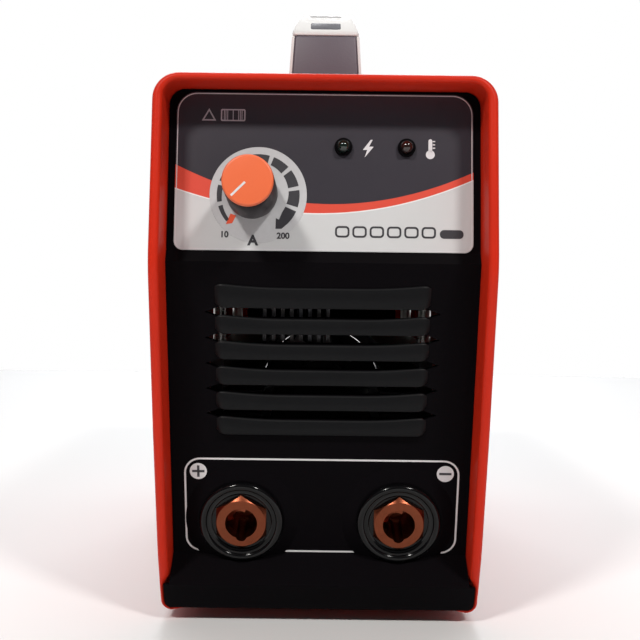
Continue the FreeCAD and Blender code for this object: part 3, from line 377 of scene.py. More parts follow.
@dataclass(frozen=True)
class LampLens:
    """A tinted lens, unlit, with a faint swirl through its tint."""
    name: str
    colour: Colour

    def material(self) -> bpy.types.Material:
        """Builds the node material."""
        shader = Shader(self.name)
        swirl = shader.noise(0.002, 3.0)
        colour = shader.blend(swirl, shaded(self.colour, 0.6), shaded(self.colour, 1.4))
        return shader.finish(Base_Color=colour, Roughness=swirl * 0.05 + 0.08, Coat_Weight=0.6)


@dataclass(frozen=True)
class CircuitBoard:
    """Solder mask over traces, with plated pads."""
    name: str
    mask: Colour = (0.010, 0.105, 0.045)
    solder: Colour = (0.62, 0.60, 0.55)

    def material(self) -> bpy.types.Material:
        """Builds the node material."""
        shader = Shader(self.name)
        tracks = shader.cells(0.00625, "DISTANCE_TO_EDGE").below(0.10, 0.04)
        pads = shader.cells(0.0045).below(0.16, 0.05)
        traced = shader.blend(tracks, shaded(self.mask, 0.75), shaded(self.mask, 1.5))
        shader.relief(tracks, 0.00004)
        return shader.finish(Base_Color=shader.blend(pads, traced, self.solder), Metallic=pads * 0.9,
                             Roughness=0.38 - pads * 0.12)


@dataclass(frozen=True)
class Winding:
    """Enamelled wire laid side by side, with painted shade in the grooves between turns."""
    name: str
    colour: Colour = (0.42, 0.13, 0.04)
    wire: float = 0.0016

    def material(self) -> bpy.types.Material:
        """Builds the node material."""
        shader = Shader(self.name)
        _, _, z = shader.axes()
        wobble = shader.noise(0.01, 2.0) * 0.001
        turns = ((z + wobble) * (2.0 * math.pi / self.wire)).sine() * 0.5 + 0.5
        shader.relief(turns, 0.0004)
        # The wire's colour falls to 45% in the grooves between turns: painted shade.
        return shader.finish(Base_Color=shader.blend(turns, shaded(self.colour, 0.45), self.colour),
                             Metallic=0.4, Roughness=0.45 - turns * 0.15)


# ---------------------------------------------------------------- meshes

class Plane:
    """A tilted plane through a point: x across, up along the plane, out along its normal."""

    def __init__(self, point: Vector, normal: Vector) -> None:
        """Keeps the plane's frame; point is where x = up = out = 0."""
        out = normal.normalized()
        across = Vector((1.0, 0.0, 0.0))
        up = out.cross(across).normalized() * (1.0 if out.cross(across).z > 0 else -1.0)
        self.matrix = Matrix((
            (across.x, up.x, out.x, point.x), (across.y, up.y, out.y, point.y),
            (across.z, up.z, out.z, point.z), (0.0, 0.0, 0.0, 1.0)))

    def at(self, x: float, up: float, out: float) -> Vector:
        """A point of the plane's frame in the object's frame."""
        return self.matrix @ Vector((x, up, out))


def linked(name: str, data: bpy.types.ID) -> bpy.types.Object:
    """A new object of the scene."""
    thing = bpy.data.objects.new(name, data)
    bpy.context.scene.collection.objects.link(thing)
    return thing


class Maker:
    """Makes finished pieces: closed meshes with a finish, a body and a material slot."""

    def __init__(self, finishes: dict[str, bpy.types.Material]) -> None:
        """Keeps the materials by slot."""
        self.finishes = finishes
        self.count = 0

    def piece(self, mesh: bpy.types.Mesh, name: str, slot: str, finish: str | None = None, body: str = "case",
              replaces: Sequence[str] = (), smooth: float | None = 35.0) -> bpy.types.Object:
        """Links a mesh as a piece that rides on a body.

        Args:
            mesh: the finished mesh, in the object's frame.
            name: the piece's name.
            slot: the record's material slot.
            finish: the material's key, if it isn't the slot's own.
            body: the body it moves with.
            replaces: CAD nodes that it stands for.
            smooth: the angle in degrees above which an edge stays sharp, or None for flat faces.

        Returns:
            The new object.
        """
        mesh.name = name
        mesh.materials.clear()
        mesh.materials.append(self.finishes[finish or slot])
        if smooth is not None:
            mesh.polygons.foreach_set("use_smooth", [True] * len(mesh.polygons))
            mesh.set_sharp_from_angle(angle=math.radians(smooth))
        thing = linked(name, mesh)
        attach(thing, body)
        if replaces:
            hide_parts(*replaces)
        self.count += 1
        log.info("%s: %d faces on %s", name, len(mesh.polygons), body)
        return thing


def mesh_of(points: Sequence[Vector], faces: Sequence[Sequence[int]]) -> bpy.types.Mesh:
    """A mesh with doubles merged and its faces pointing outwards."""
    mesh = bpy.data.meshes.new("piece")
    mesh.from_pydata([tuple(point) for point in points], [], [tuple(face) for face in faces])
    work = bmesh.new()
    work.from_mesh(mesh)
    bmesh.ops.remove_doubles(work, verts=work.verts, dist=1e-7)
    bmesh.ops.recalc_face_normals(work, faces=work.faces)
    work.to_mesh(mesh)
    work.free()
    return mesh


def joined(*meshes: bpy.types.Mesh) -> bpy.types.Mesh:
    """Several meshes as one."""
    work = bmesh.new()
    for mesh in meshes:
        work.from_mesh(mesh)
    whole = bpy.data.meshes.new("piece")
    work.to_mesh(whole)
    work.free()
    return whole


def tube(rings: Sequence[Sequence[Vector]], closed: bool = False) -> bpy.types.Mesh:
    """A skin over rings of equal count.

    Args:
        rings: the rings of points, in order.
        closed: whether the last ring joins the first; if not, both ends get a face.

    Returns:
        The mesh.
    """
    count = len(rings[0])
    points = [point for ring in rings for point in ring]
    faces = []
    spans = len(rings) if closed else len(rings) - 1
    for span in range(spans):
        low, high = span * count, ((span + 1) % len(rings)) * count
        for index in range(count):
            following = (index + 1) % count
            faces.append((low + index, low + following, high + following, high + index))
    if not closed:
        faces.append(tuple(range(count - 1, -1, -1)))
        faces.append(tuple(range(len(points) - count, len(points))))
    return mesh_of(points, faces)


def lathe(plane: Plane, x: float, profile: Sequence[Point], hollow: bool = False) -> bpy.types.Mesh:
    """A turned shape about an axis along the plane's normal.

    Args:
        plane: the plane that the axis stands on.
        x: the axis's place across the plane, in metres.
        profile: points (radius, out) from foot to tip, in millimetres; for a hollow shape, a closed loop.
        hollow: whether the profile closes on itself around an open middle.

    Returns:
        The mesh.
    """
    segments = 96
    steps = [2.0 * math.pi * step / segments for step in range(segments)]
    rings = [[plane.at(x + radius * MM * math.cos(a), radius * MM * math.sin(a), out * MM) for a in steps]
             for radius, out in profile]
    return tube(rings, closed=hollow)


def slab(plane: Plane, outline: Sequence[Point], low: float, high: float) -> bpy.types.Mesh:
    """A flat shape of the plane between two heights."""
    return tube([[plane.at(x, up, out) for x, up in outline] for out in (low, high)])


def arc(centre: Point, radius: float, start: float, end: float, steps: int) -> list[Point]:
    """Points along an arc, angles in degrees."""
    turns = [math.radians(start + (end - start) * step / steps) for step in range(steps + 1)]
    return [(centre[0] + radius * math.cos(turn), centre[1] + radius * math.sin(turn)) for turn in turns]


def rounded(left: float, low: float, right: float, high: float, low_round: float, high_round: float,
            steps: int = 8) -> list[Point]:
    """A rectangle with rounded corners, anticlockwise from its lower right corner."""
    return (arc((right - low_round, low + low_round), low_round, -90, 0, steps)
            + arc((right - high_round, high - high_round), high_round, 0, 90, steps)
            + arc((left + high_round, high - high_round), high_round, 90, 180, steps)
            + arc((left + low_round, low + low_round), low_round, 180, 270, steps))


def in_metres(shape: Sequence[Point], x: float = 0.0, up: float = 0.0) -> list[Point]:
    """A shape in millimetres, moved by x and up and taken to metres."""
    return [((x + across) * MM, (up + along) * MM) for across, along in shape]


def frame_line(plane: Plane, outer: Sequence[Point], inner: Sequence[Point], low: float,
               high: float) -> bpy.types.Mesh:
    """A closed flat line between two outlines of equal count."""
    rings = [[plane.at(*point, low) for point in outer], [plane.at(*point, high) for point in outer],
             [plane.at(*point, high) for point in inner], [plane.at(*point, low) for point in inner]]
    return tube(rings, closed=True)


def bevelled(mesh: bpy.types.Mesh, width: float, segments: int) -> bpy.types.Mesh:
    """The mesh with its sharp edges rounded."""
    thing = linked("bevelling", mesh)
    modifier = thing.modifiers.new("edges", "BEVEL")
    modifier.width = width
    modifier.segments = segments
    modifier.limit_method = "ANGLE"
    modifier.angle_limit = math.radians(30.0)
    return evaluated(thing)


def evaluated(thing: bpy.types.Object) -> bpy.types.Mesh:
    """The object's mesh with its modifiers applied; the object itself is removed."""
    bpy.context.view_layer.update()
    graph = bpy.context.evaluated_depsgraph_get()
    mesh = bpy.data.meshes.new_from_object(thing.evaluated_get(graph))
    bpy.data.objects.remove(thing)
    return mesh


class Spread(Enum):
    """How a node tree sets out its copies."""
    ROW = "row"
    POINTS = "points"


@dataclass
class Repeater:
    """A geometry node tree that repeats one template mesh."""
    spread: Spread
    material: bpy.types.Material

    def tree(self) -> bpy.types.GeometryNodeTree:
        """Builds the tree with its named inputs."""
        group = bpy.data.node_groups.new("repeat_" + self.spread.value, "GeometryNodeTree")
        sockets = {"Geometry": "Geometry", "Template": "Object"}
        if self.spread is Spread.ROW:
            sockets |= {"Count": "Int", "Start": "Vector", "Step": "Vector"}
        for name, kind in sockets.items():
            group.interface.new_socket(name, in_out="INPUT", socket_type="NodeSocket" + kind)
        group.interface.new_socket("Geometry", in_out="OUTPUT", socket_type="NodeSocketGeometry")
        nodes = group.nodes
        source, target = nodes.new("NodeGroupInput"), nodes.new("NodeGroupOutput")
        info = nodes.new("GeometryNodeObjectInfo")
        copies = nodes.new("GeometryNodeInstanceOnPoints")
        real = nodes.new("GeometryNodeRealizeInstances")
        dress = nodes.new("GeometryNodeSetMaterial")
        dress.inputs["Material"].default_value = self.material
        links = [(source, "Template", info, "Object"), (info, "Geometry", copies, "Instance"),
                 (copies, "Instances", real, "Geometry"), (real, "Geometry", dress, "Geometry"),
                 (dress, "Geometry", target, "Geometry")]
        if self.spread is Spread.ROW:
            line = nodes.new("GeometryNodeMeshLine")
            line.mode = "OFFSET"
            links += [(source, "Count", line, "Count"), (source, "Start", line, "Start Location"),
                      (source, "Step", line, "Offset"), (line, "Mesh", copies, "Points")]
        else:
            points = nodes.new("GeometryNodeMeshToPoints")
            links += [(source, "Geometry", points, "Mesh"), (points, "Points", copies, "Points")]
        for giver, output, taker, entry in links:
            group.links.new(giver.outputs[output], taker.inputs[entry])
        return group

    def repeat(self, template: bpy.types.Mesh, places: Sequence[Vector] = (), count: int = 0,
               start: Vector | None = None, step: Vector | None = None) -> bpy.types.Mesh:
        """Repeats a mesh at places, or count times from start by step.

        Args:
            template: the mesh to repeat.
            places: where the copies go, for points.
            count: how many copies a row has.
            start: the row's first place.
            step: the way from one copy of a row to the next.

        Returns:
            One plain mesh of all the copies.
        """
        pattern = linked("template", template)
        seed = bpy.data.meshes.new("places")
        seed.from_pydata([tuple(place) for place in places] or [(0.0, 0.0, 0.0)], [], [])
        host = linked("host", seed)
        modifier = host.modifiers.new("repeat", "NODES")
        modifier.node_group = self.tree()
        inputs = {item.name: item.identifier for item in modifier.node_group.interface.items_tree
                  if item.in_out == "INPUT"}
        modifier[inputs["Template"]] = pattern
        if self.spread is Spread.ROW:
            modifier[inputs["Count"]] = count
            modifier[inputs["Start"]] = start
            modifier[inputs["Step"]] = step
        mesh = evaluated(host)
        bpy.data.objects.remove(pattern)
        return mesh


# ---------------------------------------------------------------- sub-assemblies

@dataclass
class Hood:
    """The moulded red hood around the front: a tube whose rim leans in below a crease."""
    maker: Maker
    half: float = 65 * MM
    foot: float = 4 * MM
    top: float = 218 * MM
    back: float = -92 * MM
    outer_round: float = 10 * MM
    toe_round: float = 4.5 * MM
    inner_half: float = 61 * MM
    inner_low: float = 5.7 * MM
    inner_top: float = 215 * MM
    inner_round: float = 6 * MM
    inner_toe: float = 2.5 * MM
    chin_spread: float = 2.3 * MM
    chin_top: float = 19.5 * MM
    chin_blend: float = 2.5 * MM
    bead: float = 1.8 * MM
    soft: float = 5 * MM
    lip: float = 4 * MM
    lip_side: float = 4 * MM
    lip_blend: float = 8 * MM
    under_step: float = 8 * MM
    side_line: tuple[Point, ...] = (
        (-0.1165, 0.000), (-0.1185, 0.004), (-0.1296, 0.030), (-0.1423, 0.0806), (-0.1560, 0.146),
        (-0.1470, 0.218), (-0.1462, 0.226))

    def rim(self, z: float) -> float:
        """Depth of the rim at a height, smoothed over its corners."""
        steps = 8
        heights = [z + self.soft * (2.0 * step / steps - 1.0) for step in range(steps + 1)]
        return sum(self.straight_rim(height) for height in heights) / len(heights)

    def straight_rim(self, z: float) -> float:
        """Depth of the rim along straight lines between its corners."""
        line = self.side_line
        for (low_y, low_z), (high_y, high_z) in zip(line, line[1:]):
            if z <= high_z or (high_y, high_z) == line[-1]:
                share = (z - low_z) / (high_z - low_z)
                return low_y + max(share, 0.0) * (high_y - low_y)
        return line[-1][0]

    def setback(self, x: float, z: float) -> float:
        """How far the lip under the chin stands behind the rest of the rim."""
        if z > self.foot + self.lip:
            return 0.0
        share = min(max((self.half - self.lip_side - abs(x)) / self.lip_blend, 0.0), 1.0)
        return self.under_step * share * share * (3.0 - 2.0 * share)

    def outline(self, half: float, low: float, high: float, low_round: float,
                high_round: float) -> list[Point]:
        """A rounded rectangle with points close together along its sides."""
        corners, sides, flats = 12, 48, 10
        right_foot = arc((half - low_round, low + low_round), low_round, -90, 0, corners)
        right_top = arc((half - high_round, high - high_round), high_round, 0, 90, corners)
        climb = [(half, low + low_round + (high - high_round - low - low_round) * step / sides)
                 for step in range(1, sides)]
        roof = [((half - high_round) * (1.0 - 2.0 * step / flats), high) for step in range(1, flats)]
        floor = [((half - low_round) * (2.0 * step / flats - 1.0), low) for step in range(1, flats)]
        mirror = [(-x, z) for x, z in reversed(right_foot + climb + right_top)]
        return right_foot + climb + right_top + roof + mirror + floor

    def build(self) -> None:
        """Makes the hood in place of its CAD node."""
        outer = self.outline(self.half, self.foot, self.top, self.toe_round, self.outer_round)
        inner = self.outline(self.inner_half, self.inner_low, self.inner_top, self.inner_toe, self.inner_round)
        side = 40 * MM
        widened = []
        for x, z in inner:
            share = min(max((self.chin_top - z) / self.chin_blend, 0.0), 1.0)
            widened.append((x + math.copysign(self.chin_spread * share, x) if abs(x) > side else x, z))
        rings = [[Vector((x, self.back, z)) for x, z in outer]]
        steps = 10
        for step in range(steps + 1):
            turn = math.pi * step / steps
            share = (1.0 - math.cos(turn)) / 2.0
            ring = []
            for (outer_x, outer_z), (inner_x, inner_z) in zip(outer, widened):
                x = outer_x + (inner_x - outer_x) * share
                z = outer_z + (inner_z - outer_z) * share
                depth = self.rim(z) + self.setback(x, z) + self.bead * (1.0 - math.sin(turn))
                ring.append(Vector((x, depth, z)))
            rings.append(ring)
        rings.append([Vector((x, self.back, z)) for x, z in widened])
        self.maker.piece(tube(rings, closed=True), "hood", "red_moulding", replaces=["front_bezel"])


@dataclass
class Louvre:
    """Slats that stand proud between the slots of the lower panel."""
    maker: Maker
    plane: Plane
    first: float = 40.73
    pitch: float = 10.44
    count: int = 6
    half: float = 42.0
    low: float = -3.2
    high: float = 2.8
    proud: float = 2.1
    root: float = -0.4
    rise: float = 1.7
    top_extra: float = 2.0

    def slat(self, extra: float = 0.0) -> bpy.types.Mesh:
        """One slat: a straight proud lower lip, and a face that falls back to an edge rising at both ends."""
        across = 56
        fade_from, rise_from = 0.9, 0.35
        rings = []
        for step in range(across + 1):
            share = 2.0 * step / across - 1.0
            reach = abs(share)
            fade = math.sqrt(max(1.0 - (max(reach - fade_from, 0.0) / (1.0 - fade_from)) ** 2, 0.0))
            rise = self.rise * min(max((reach - rise_from) / (1.0 - rise_from), 0.0), 1.0) ** 2
            low = self.low + (1.0 - fade) * 1.8
            high = self.high + extra + rise - (1.0 - fade) * 1.5
            out = self.proud * (0.2 + 0.8 * fade)
            section = [(low, self.root), (low, out - 0.55), (low + 0.2, out - 0.15), (low + 0.6, out),
                       ((low + high) / 2.0, out * 0.72), (high - 0.7, out * 0.42), (high - 0.15, out * 0.26),
                       (high, out * 0.1), (high, self.root)]
            rings.append([self.plane.at(share * self.half * MM, up * MM, depth * MM) - self.plane.at(0, 0, 0)
                          for up, depth in section])
        return tube(rings)

    def build(self) -> None:
        """Repeats the slat up the panel, and ends with a taller one."""
        origin = self.plane.at(0.0, self.first * MM, 0.0)
        step = self.plane.at(0.0, self.pitch * MM, 0.0) - self.plane.at(0.0, 0.0, 0.0)
        # The slats get a lighter black than the panel they are moulded in: painted light on their lit faces.
        rows = Repeater(Spread.ROW, self.maker.finishes["slat_black"])
        alike = self.count - 1
        lower = rows.repeat(self.slat(), count=alike, start=origin, step=step)
        top = self.slat(self.top_extra)
        top.transform(Matrix.Translation(origin + alike * step))
        self.maker.piece(joined(lower, top), "louvre_slats", "black_moulding", "slat_black", smooth=40.0)


@dataclass
class Sockets:
    """The two output sockets: a glossy black body with a raised bead around the metal contact."""
    maker: Maker
    plane: Plane
    places: tuple[float, ...]
    bore: float = 9.7
    recess: float = 12.1
    recess_floor: float = 2.55
    sleeve: float = 14.0
    sleeve_end: float = -22.0
    flange: float = 17.3
    seat: float = 2.02
    bead: float = 1.5
    bead_middle: float = 15.6
    bead_rise: float = 3.3
    face: float = 4.7
    ledge_inner: float = 3.3
    ledge_outer: float = 6.5
    ledge_start: float = 70.0
    ledge_turn: float = 130.0
    ledge_fall: float = 4.0

    def body(self, x: float) -> bpy.types.Mesh:
        """The flange with its bead, and the sleeve behind it."""
        bead = [(self.bead_middle + self.bead * math.cos(turn), self.bead_rise + 0.8 * self.bead * math.sin(turn))
                for turn in (math.radians(15 * step) for step in range(13))]
        profile = [(self.bore, self.sleeve_end), (self.sleeve, self.sleeve_end), (self.sleeve, self.seat),
                   (self.flange - 0.4, self.seat), (self.flange, self.seat + 0.48), *bead, (13.4, 3.2),
                   (self.recess + 0.5, 3.5), (self.recess, 3.2), (self.recess, self.recess_floor),
                   (self.bore, self.recess_floor)]
        return lathe(self.plane, x, profile, hollow=True)

    def ramp(self, x: float) -> bpy.types.Mesh:
        """The helical ledge inside the bore that pulls a turned plug tight."""
        steps = 20
        inner, outer = self.ledge_inner, self.ledge_outer
        rings = []
        for step in range(steps + 1):
            share = step / steps
            turn = math.radians(self.ledge_start + self.ledge_turn * share)
            top = self.face - 3.0 - self.ledge_fall * share
            foot = top - 1.6
            rings.append([self.plane.at(x + radius * MM * math.cos(turn), radius * MM * math.sin(turn), out * MM)
                          for radius, out in ((inner, foot), (outer, foot), (outer, top), (inner + 0.5, top))])
        return tube(rings)

    def build(self) -> None:
        """Makes both bodies, and the ledges in both bores."""
        ledges = joined(*(self.ramp(x) for x in self.places))
        self.maker.piece(ledges, "contact_ledges", "brass_contact", smooth=40.0)
        for name, x in zip(("positive", "negative"), self.places):
            self.maker.piece(self.body(x), name + "_socket_shell", "socket_black",
                             replaces=[name + "_socket_body"], smooth=40.0)


@dataclass
class Print:
    """Everything printed on the label and on the panel: line, dial scale, digits, pictograms and signs."""
    maker: Maker
    label: Plane
    lower: Plane
    dial_x: float
    film: float = 0.42 * MM
    ink: float = 0.05 * MM

    def flat(self, name: str, outlines: Sequence[Sequence[Point]], slot: str, finish: str,
             plane: Plane | None = None, height: float | None = None) -> None:
        """Prints outlines given in millimetres of the plane's frame."""
        base = self.film if height is None else height
        sheets = [slab(plane or self.label, in_metres(outline), base, base + self.ink) for outline in outlines]
        self.maker.piece(joined(*sheets), name, slot, finish, smooth=None)

    def line(self, outer: Sequence[Point], inner: Sequence[Point], x: float = 0.0,
             up: float = 0.0) -> bpy.types.Mesh:
        """A line on the label between two outlines in millimetres, moved by x and up."""
        return frame_line(self.label, in_metres(outer, x, up), in_metres(inner, x, up), self.film,
                          self.film + self.ink)

    def patch(self, shape: Sequence[Point], x: float = 0.0, up: float = 0.0) -> bpy.types.Mesh:
        """A filled shape on the label, in millimetres, moved by x and up."""
        return slab(self.label, in_metres(shape, x, up), self.film, self.film + self.ink)

    def border(self) -> None:
        """The light line round the label's edge."""
        reach, low, high, wide = 57.6, -21.4, 40.2, 0.35
        low_round, high_round = 3.2, 7.7
        outer = rounded(-reach, low, reach, high, low_round, high_round, 12)
        inner = rounded(-reach + wide, low + wide, reach - wide, high - wide, low_round - wide,
                        high_round - wide, 12)
        self.maker.piece(self.line(outer, inner), "label_border", "pointer_white", "print_pale", smooth=None)

    def scale(self) -> None:
        """The dial's tapered segments, its arrow end and the red start mark."""
        count, span, pitch, first = 8, 24.5, 30.5, 221.0
        outer, thin, thick = 16.1, 14.7, 11.5
        middle = self.dial_x / MM
        segments = []
        for index in range(count):
            start = first - index * pitch
            share = (index + 0.5) / count
            inner_start = thin + (thick - thin) * max(share - 0.5 / count, 0.0)
            inner_end = thin + (thick - thin) * min(share + 0.5 / count, 1.0)
            steps = 8
            outside = arc((middle, 0.0), outer, start, start - span, steps)
            inside = []
            for step in range(steps + 1):
                turn = math.radians(start - span * step / steps)
                radius = inner_start + (inner_end - inner_start) * step / steps
                inside.append((middle + radius * math.cos(turn), radius * math.sin(turn)))
            segments.append(outside + inside[::-1])
        last = first - count * pitch
        arrow = arc((middle, 0.0), outer, last, last - 20.0, 6)
        arrow += [(middle + 9.2, -13.2), (middle + 6.9, -13.2), (middle + 7.0, -9.0), (middle + 8.2, -9.6)]
        arrow += arc((middle, 0.0), thick, last - 12.0, last, 4)
        segments.append(arrow)
        self.flat("dial_scale", segments, "printed_film", "print_dark")
        wedge = [(middle - 12.3, -11.6), (middle - 9.9, -11.2), (middle - 8.4, -8.2), (middle - 10.6, -7.4)]
        self.flat("dial_start_mark", [wedge], "knob_orange", "print_red")

    def words(self) -> None:
        """Digits at both ends of the dial and the sign for amperes."""
        middle = self.dial_x / MM
        pieces = [("10", middle - 12.9, -16.7, 3.3, 0.12), ("200", middle + 9.9, -17.0, 3.3, 0.12),
                  ("A", middle - 1.8, -19.6, 5.5, 0.22)]
        meshes = []
        for text, x, up, size, weight in pieces:
            curve = bpy.data.curves.new("digits", "FONT")
            curve.body = text
            curve.size = size * MM
            curve.align_x = "CENTER"
            curve.extrude = self.ink / 2.0
            curve.offset = weight * MM
            mesh = evaluated(linked("digits", curve))
            shift = Matrix.Translation((x * MM, up * MM, self.film + self.ink / 2.0))
            mesh.transform(self.label.matrix @ shift)
            meshes.append(mesh)
        self.maker.piece(joined(*meshes), "dial_digits", "printed_film", "print_dark", smooth=None)

    def pictograms(self) -> None:
        """Supply, heat, notice and booklet signs, and a plain badge in place of lettering."""
        bolt = [(0.9, 3.5), (-2.1, -0.5), (-0.4, -0.5), (-1.4, -3.5), (2.1, 0.8), (0.3, 0.8), (1.7, 3.5)]
        self.flat("supply_sign", [[(17.0 + x, 18.8 + up) for x, up in bolt]], "pointer_white", "print_pale")
        stem = rounded(-0.75, -1.2, 0.75, 3.9, 0.05, 0.7, 6)
        bulb = arc((0.0, -2.2), 1.75, 0, 360, 24)[:-1]
        marks = [[(0.9, rung), (1.9, rung), (1.9, rung + 0.45), (0.9, rung + 0.45)]
                 for rung in (0.2, 1.5, 2.8)]
        heat = [[(41.2 + x, 18.9 + up) for x, up in shape] for shape in (stem, bulb, *marks)]
        self.flat("heat_sign", heat, "pointer_white", "print_pale")
        outer, inner = [(-2.8, -2.4), (2.8, -2.4), (0.0, 2.5)], [(-1.9, -1.85), (1.9, -1.85), (0.0, 1.45)]
        notice = self.line(outer, inner, -45.3, 31.6)
        book = (-35.9, 31.5)
        booklet = self.line(rounded(-4.8, -2.4, 4.8, 2.4, 0.6, 0.6, 4), rounded(-4.3, -1.9, 4.3, 1.9, 0.4, 0.4, 4),
                            *book)
        bars = [self.patch([(a, -1.9), (a + 0.3, -1.9), (a + 0.3, 1.9), (a, 1.9)], *book)
                for a in (-3.6, -3.0, -2.3, -0.15, 2.0, 2.7, 3.3)]
        # The notice and booklet signs get the white ink painted grey: painted shade where the hood's shadow falls
        # on the label.
        self.maker.piece(joined(notice, booklet, *bars), "notice_signs", "pointer_white", "print_grey",
                         smooth=None)
        boxes = [self.line(rounded(x, -16.3, x + 5.6, -11.8, 1.5, 1.5, 5),
                           rounded(x + 0.75, -15.55, x + 4.85, -12.55, 0.85, 0.85, 5))
                 for x in (4.4 + 6.7 * step for step in range(6))]
        badge = self.patch(rounded(45.0, -16.3, 54.2, -12.9, 1.6, 1.6, 6))
        self.maker.piece(joined(*boxes, badge), "plain_badge", "printed_film", "print_dark", smooth=None)

    def socket_frame(self) -> None:
        """The white line round the two sockets, open where the sockets stand, and the two signs."""
        left, right, low, high, bend, wide = -55.2, 56.2, -14.4, 26.4, 6.2, 0.75
        around = (arc((right - bend, low + bend), bend, -86, 0, 10)
                  + arc((right - bend, high - bend), bend, 0, 90, 10)
                  + arc((left + bend, high - bend), bend, 90, 180, 10)
                  + arc((left + bend, low + bend), bend, 180, 274, 10))
        strokes = [self.stroke(around, wide), self.stroke([(-16.0, low), (0.0, low), (15.2, low)], wide),
                   self.stroke([(15.3, low - 0.7), (15.5, low + 1.5)], 0.5)]
        self.maker.piece(joined(*strokes), "socket_line", "pointer_white", "print_white", smooth=None)
        discs, signs = [], []
        reach, bold = 2.5, 0.5
        for x, up, plus in ((-49.8, 20.9, True), (50.8, 20.9, False)):
            discs.append(arc((x, up), 3.5, 0, 360, 32)[:-1])
            strips = ((reach, bold), (bold, reach)) if plus else ((reach, bold),)
            signs += [[(x - half, up - tall), (x + half, up - tall), (x + half, up + tall), (x - half, up + tall)]
                      for half, tall in strips]
        self.flat("polarity_discs", discs, "pointer_white", "print_white", self.lower, 0.02 * MM)
        self.flat("polarity_signs", signs, "printed_film", "print_dark", self.lower, 0.08 * MM)

    def stroke(self, path: Sequence[Point], wide: float) -> bpy.types.Mesh:
        """A flat line of some width along a path in millimetres."""
        left, right = [], []
        for index, (x, up) in enumerate(path):
            before, after = path[max(index - 1, 0)], path[min(index + 1, len(path) - 1)]
            run = Vector((after[0] - before[0], after[1] - before[1])).normalized() * (wide / 2.0)
            left.append((x - run.y, up + run.x))
            right.append((x + run.y, up - run.x))
        return slab(self.lower, in_metres(left + right[::-1]), 0.02 * MM, 0.07 * MM)

    def build(self) -> None:
        """Prints everything."""
        self.border()
        self.scale()
        self.words()
        self.pictograms()
        self.socket_frame()


@dataclass
class Knob:
    """The current knob: a tall black skirt, an orange face cap and a white line on it."""
    maker: Maker
    label: Plane
    x: float
    foot: float = 2.6
    tip: float = 27.0
    cap: float = 2.6
    radius: float = 9.9
    face: float = 9.5
    bore: float = 3.2
    edge: float = 0.9
    line_from: float = 1.2
    line_to: float = 8.3
    line_half: float = 0.4
    rest: float = 225.0

    def build(self) -> None:
        """Turns the skirt and the cap, and lays the line."""
        start, neck, edge = self.tip - self.cap, self.face + 0.05, self.edge
        skirt = [(self.bore, self.foot), (self.radius - 0.5, self.foot), (self.radius, self.foot + 0.5),
                 (neck + 0.05, start - 0.3), (neck - 0.1, start), (self.bore, start)]
        mesh = lathe(self.label, self.x, skirt)
        self.maker.piece(mesh, "knob_body", "socket_black", "knob_black", "current_knob", ["knob_skirt"])
        rim = [(self.face - edge + edge * math.sin(a), self.tip - edge + edge * math.cos(a))
               for a in (math.radians(turn) for turn in range(90, -1, -15))]
        cap = [(self.bore, start + 0.02), (self.face - 0.1, start + 0.02), *rim, (1.0, self.tip - 0.12),
               (0.1, self.tip - 0.14)]
        mesh = lathe(self.label, self.x, cap)
        self.maker.piece(mesh, "knob_face", "knob_orange", None, "current_knob", ["knob_cap"])
        turn = math.radians(self.rest)
        along = Vector((math.cos(turn), math.sin(turn)))
        aside = Vector((-math.sin(turn), math.cos(turn))) * self.line_half * MM
        near, far = along * self.line_from * MM, along * self.line_to * MM
        centre = Vector((self.x, 0.0))
        outline = [tuple(centre + corner) for corner in (near + aside, near - aside, far - aside, far + aside)]
        mesh = slab(self.label, outline, (self.tip - 0.3) * MM, (self.tip + 0.06) * MM)
        self.maker.piece(mesh, "knob_line", "pointer_white", "print_white", "current_knob", ["knob_pointer"],
                         smooth=None)


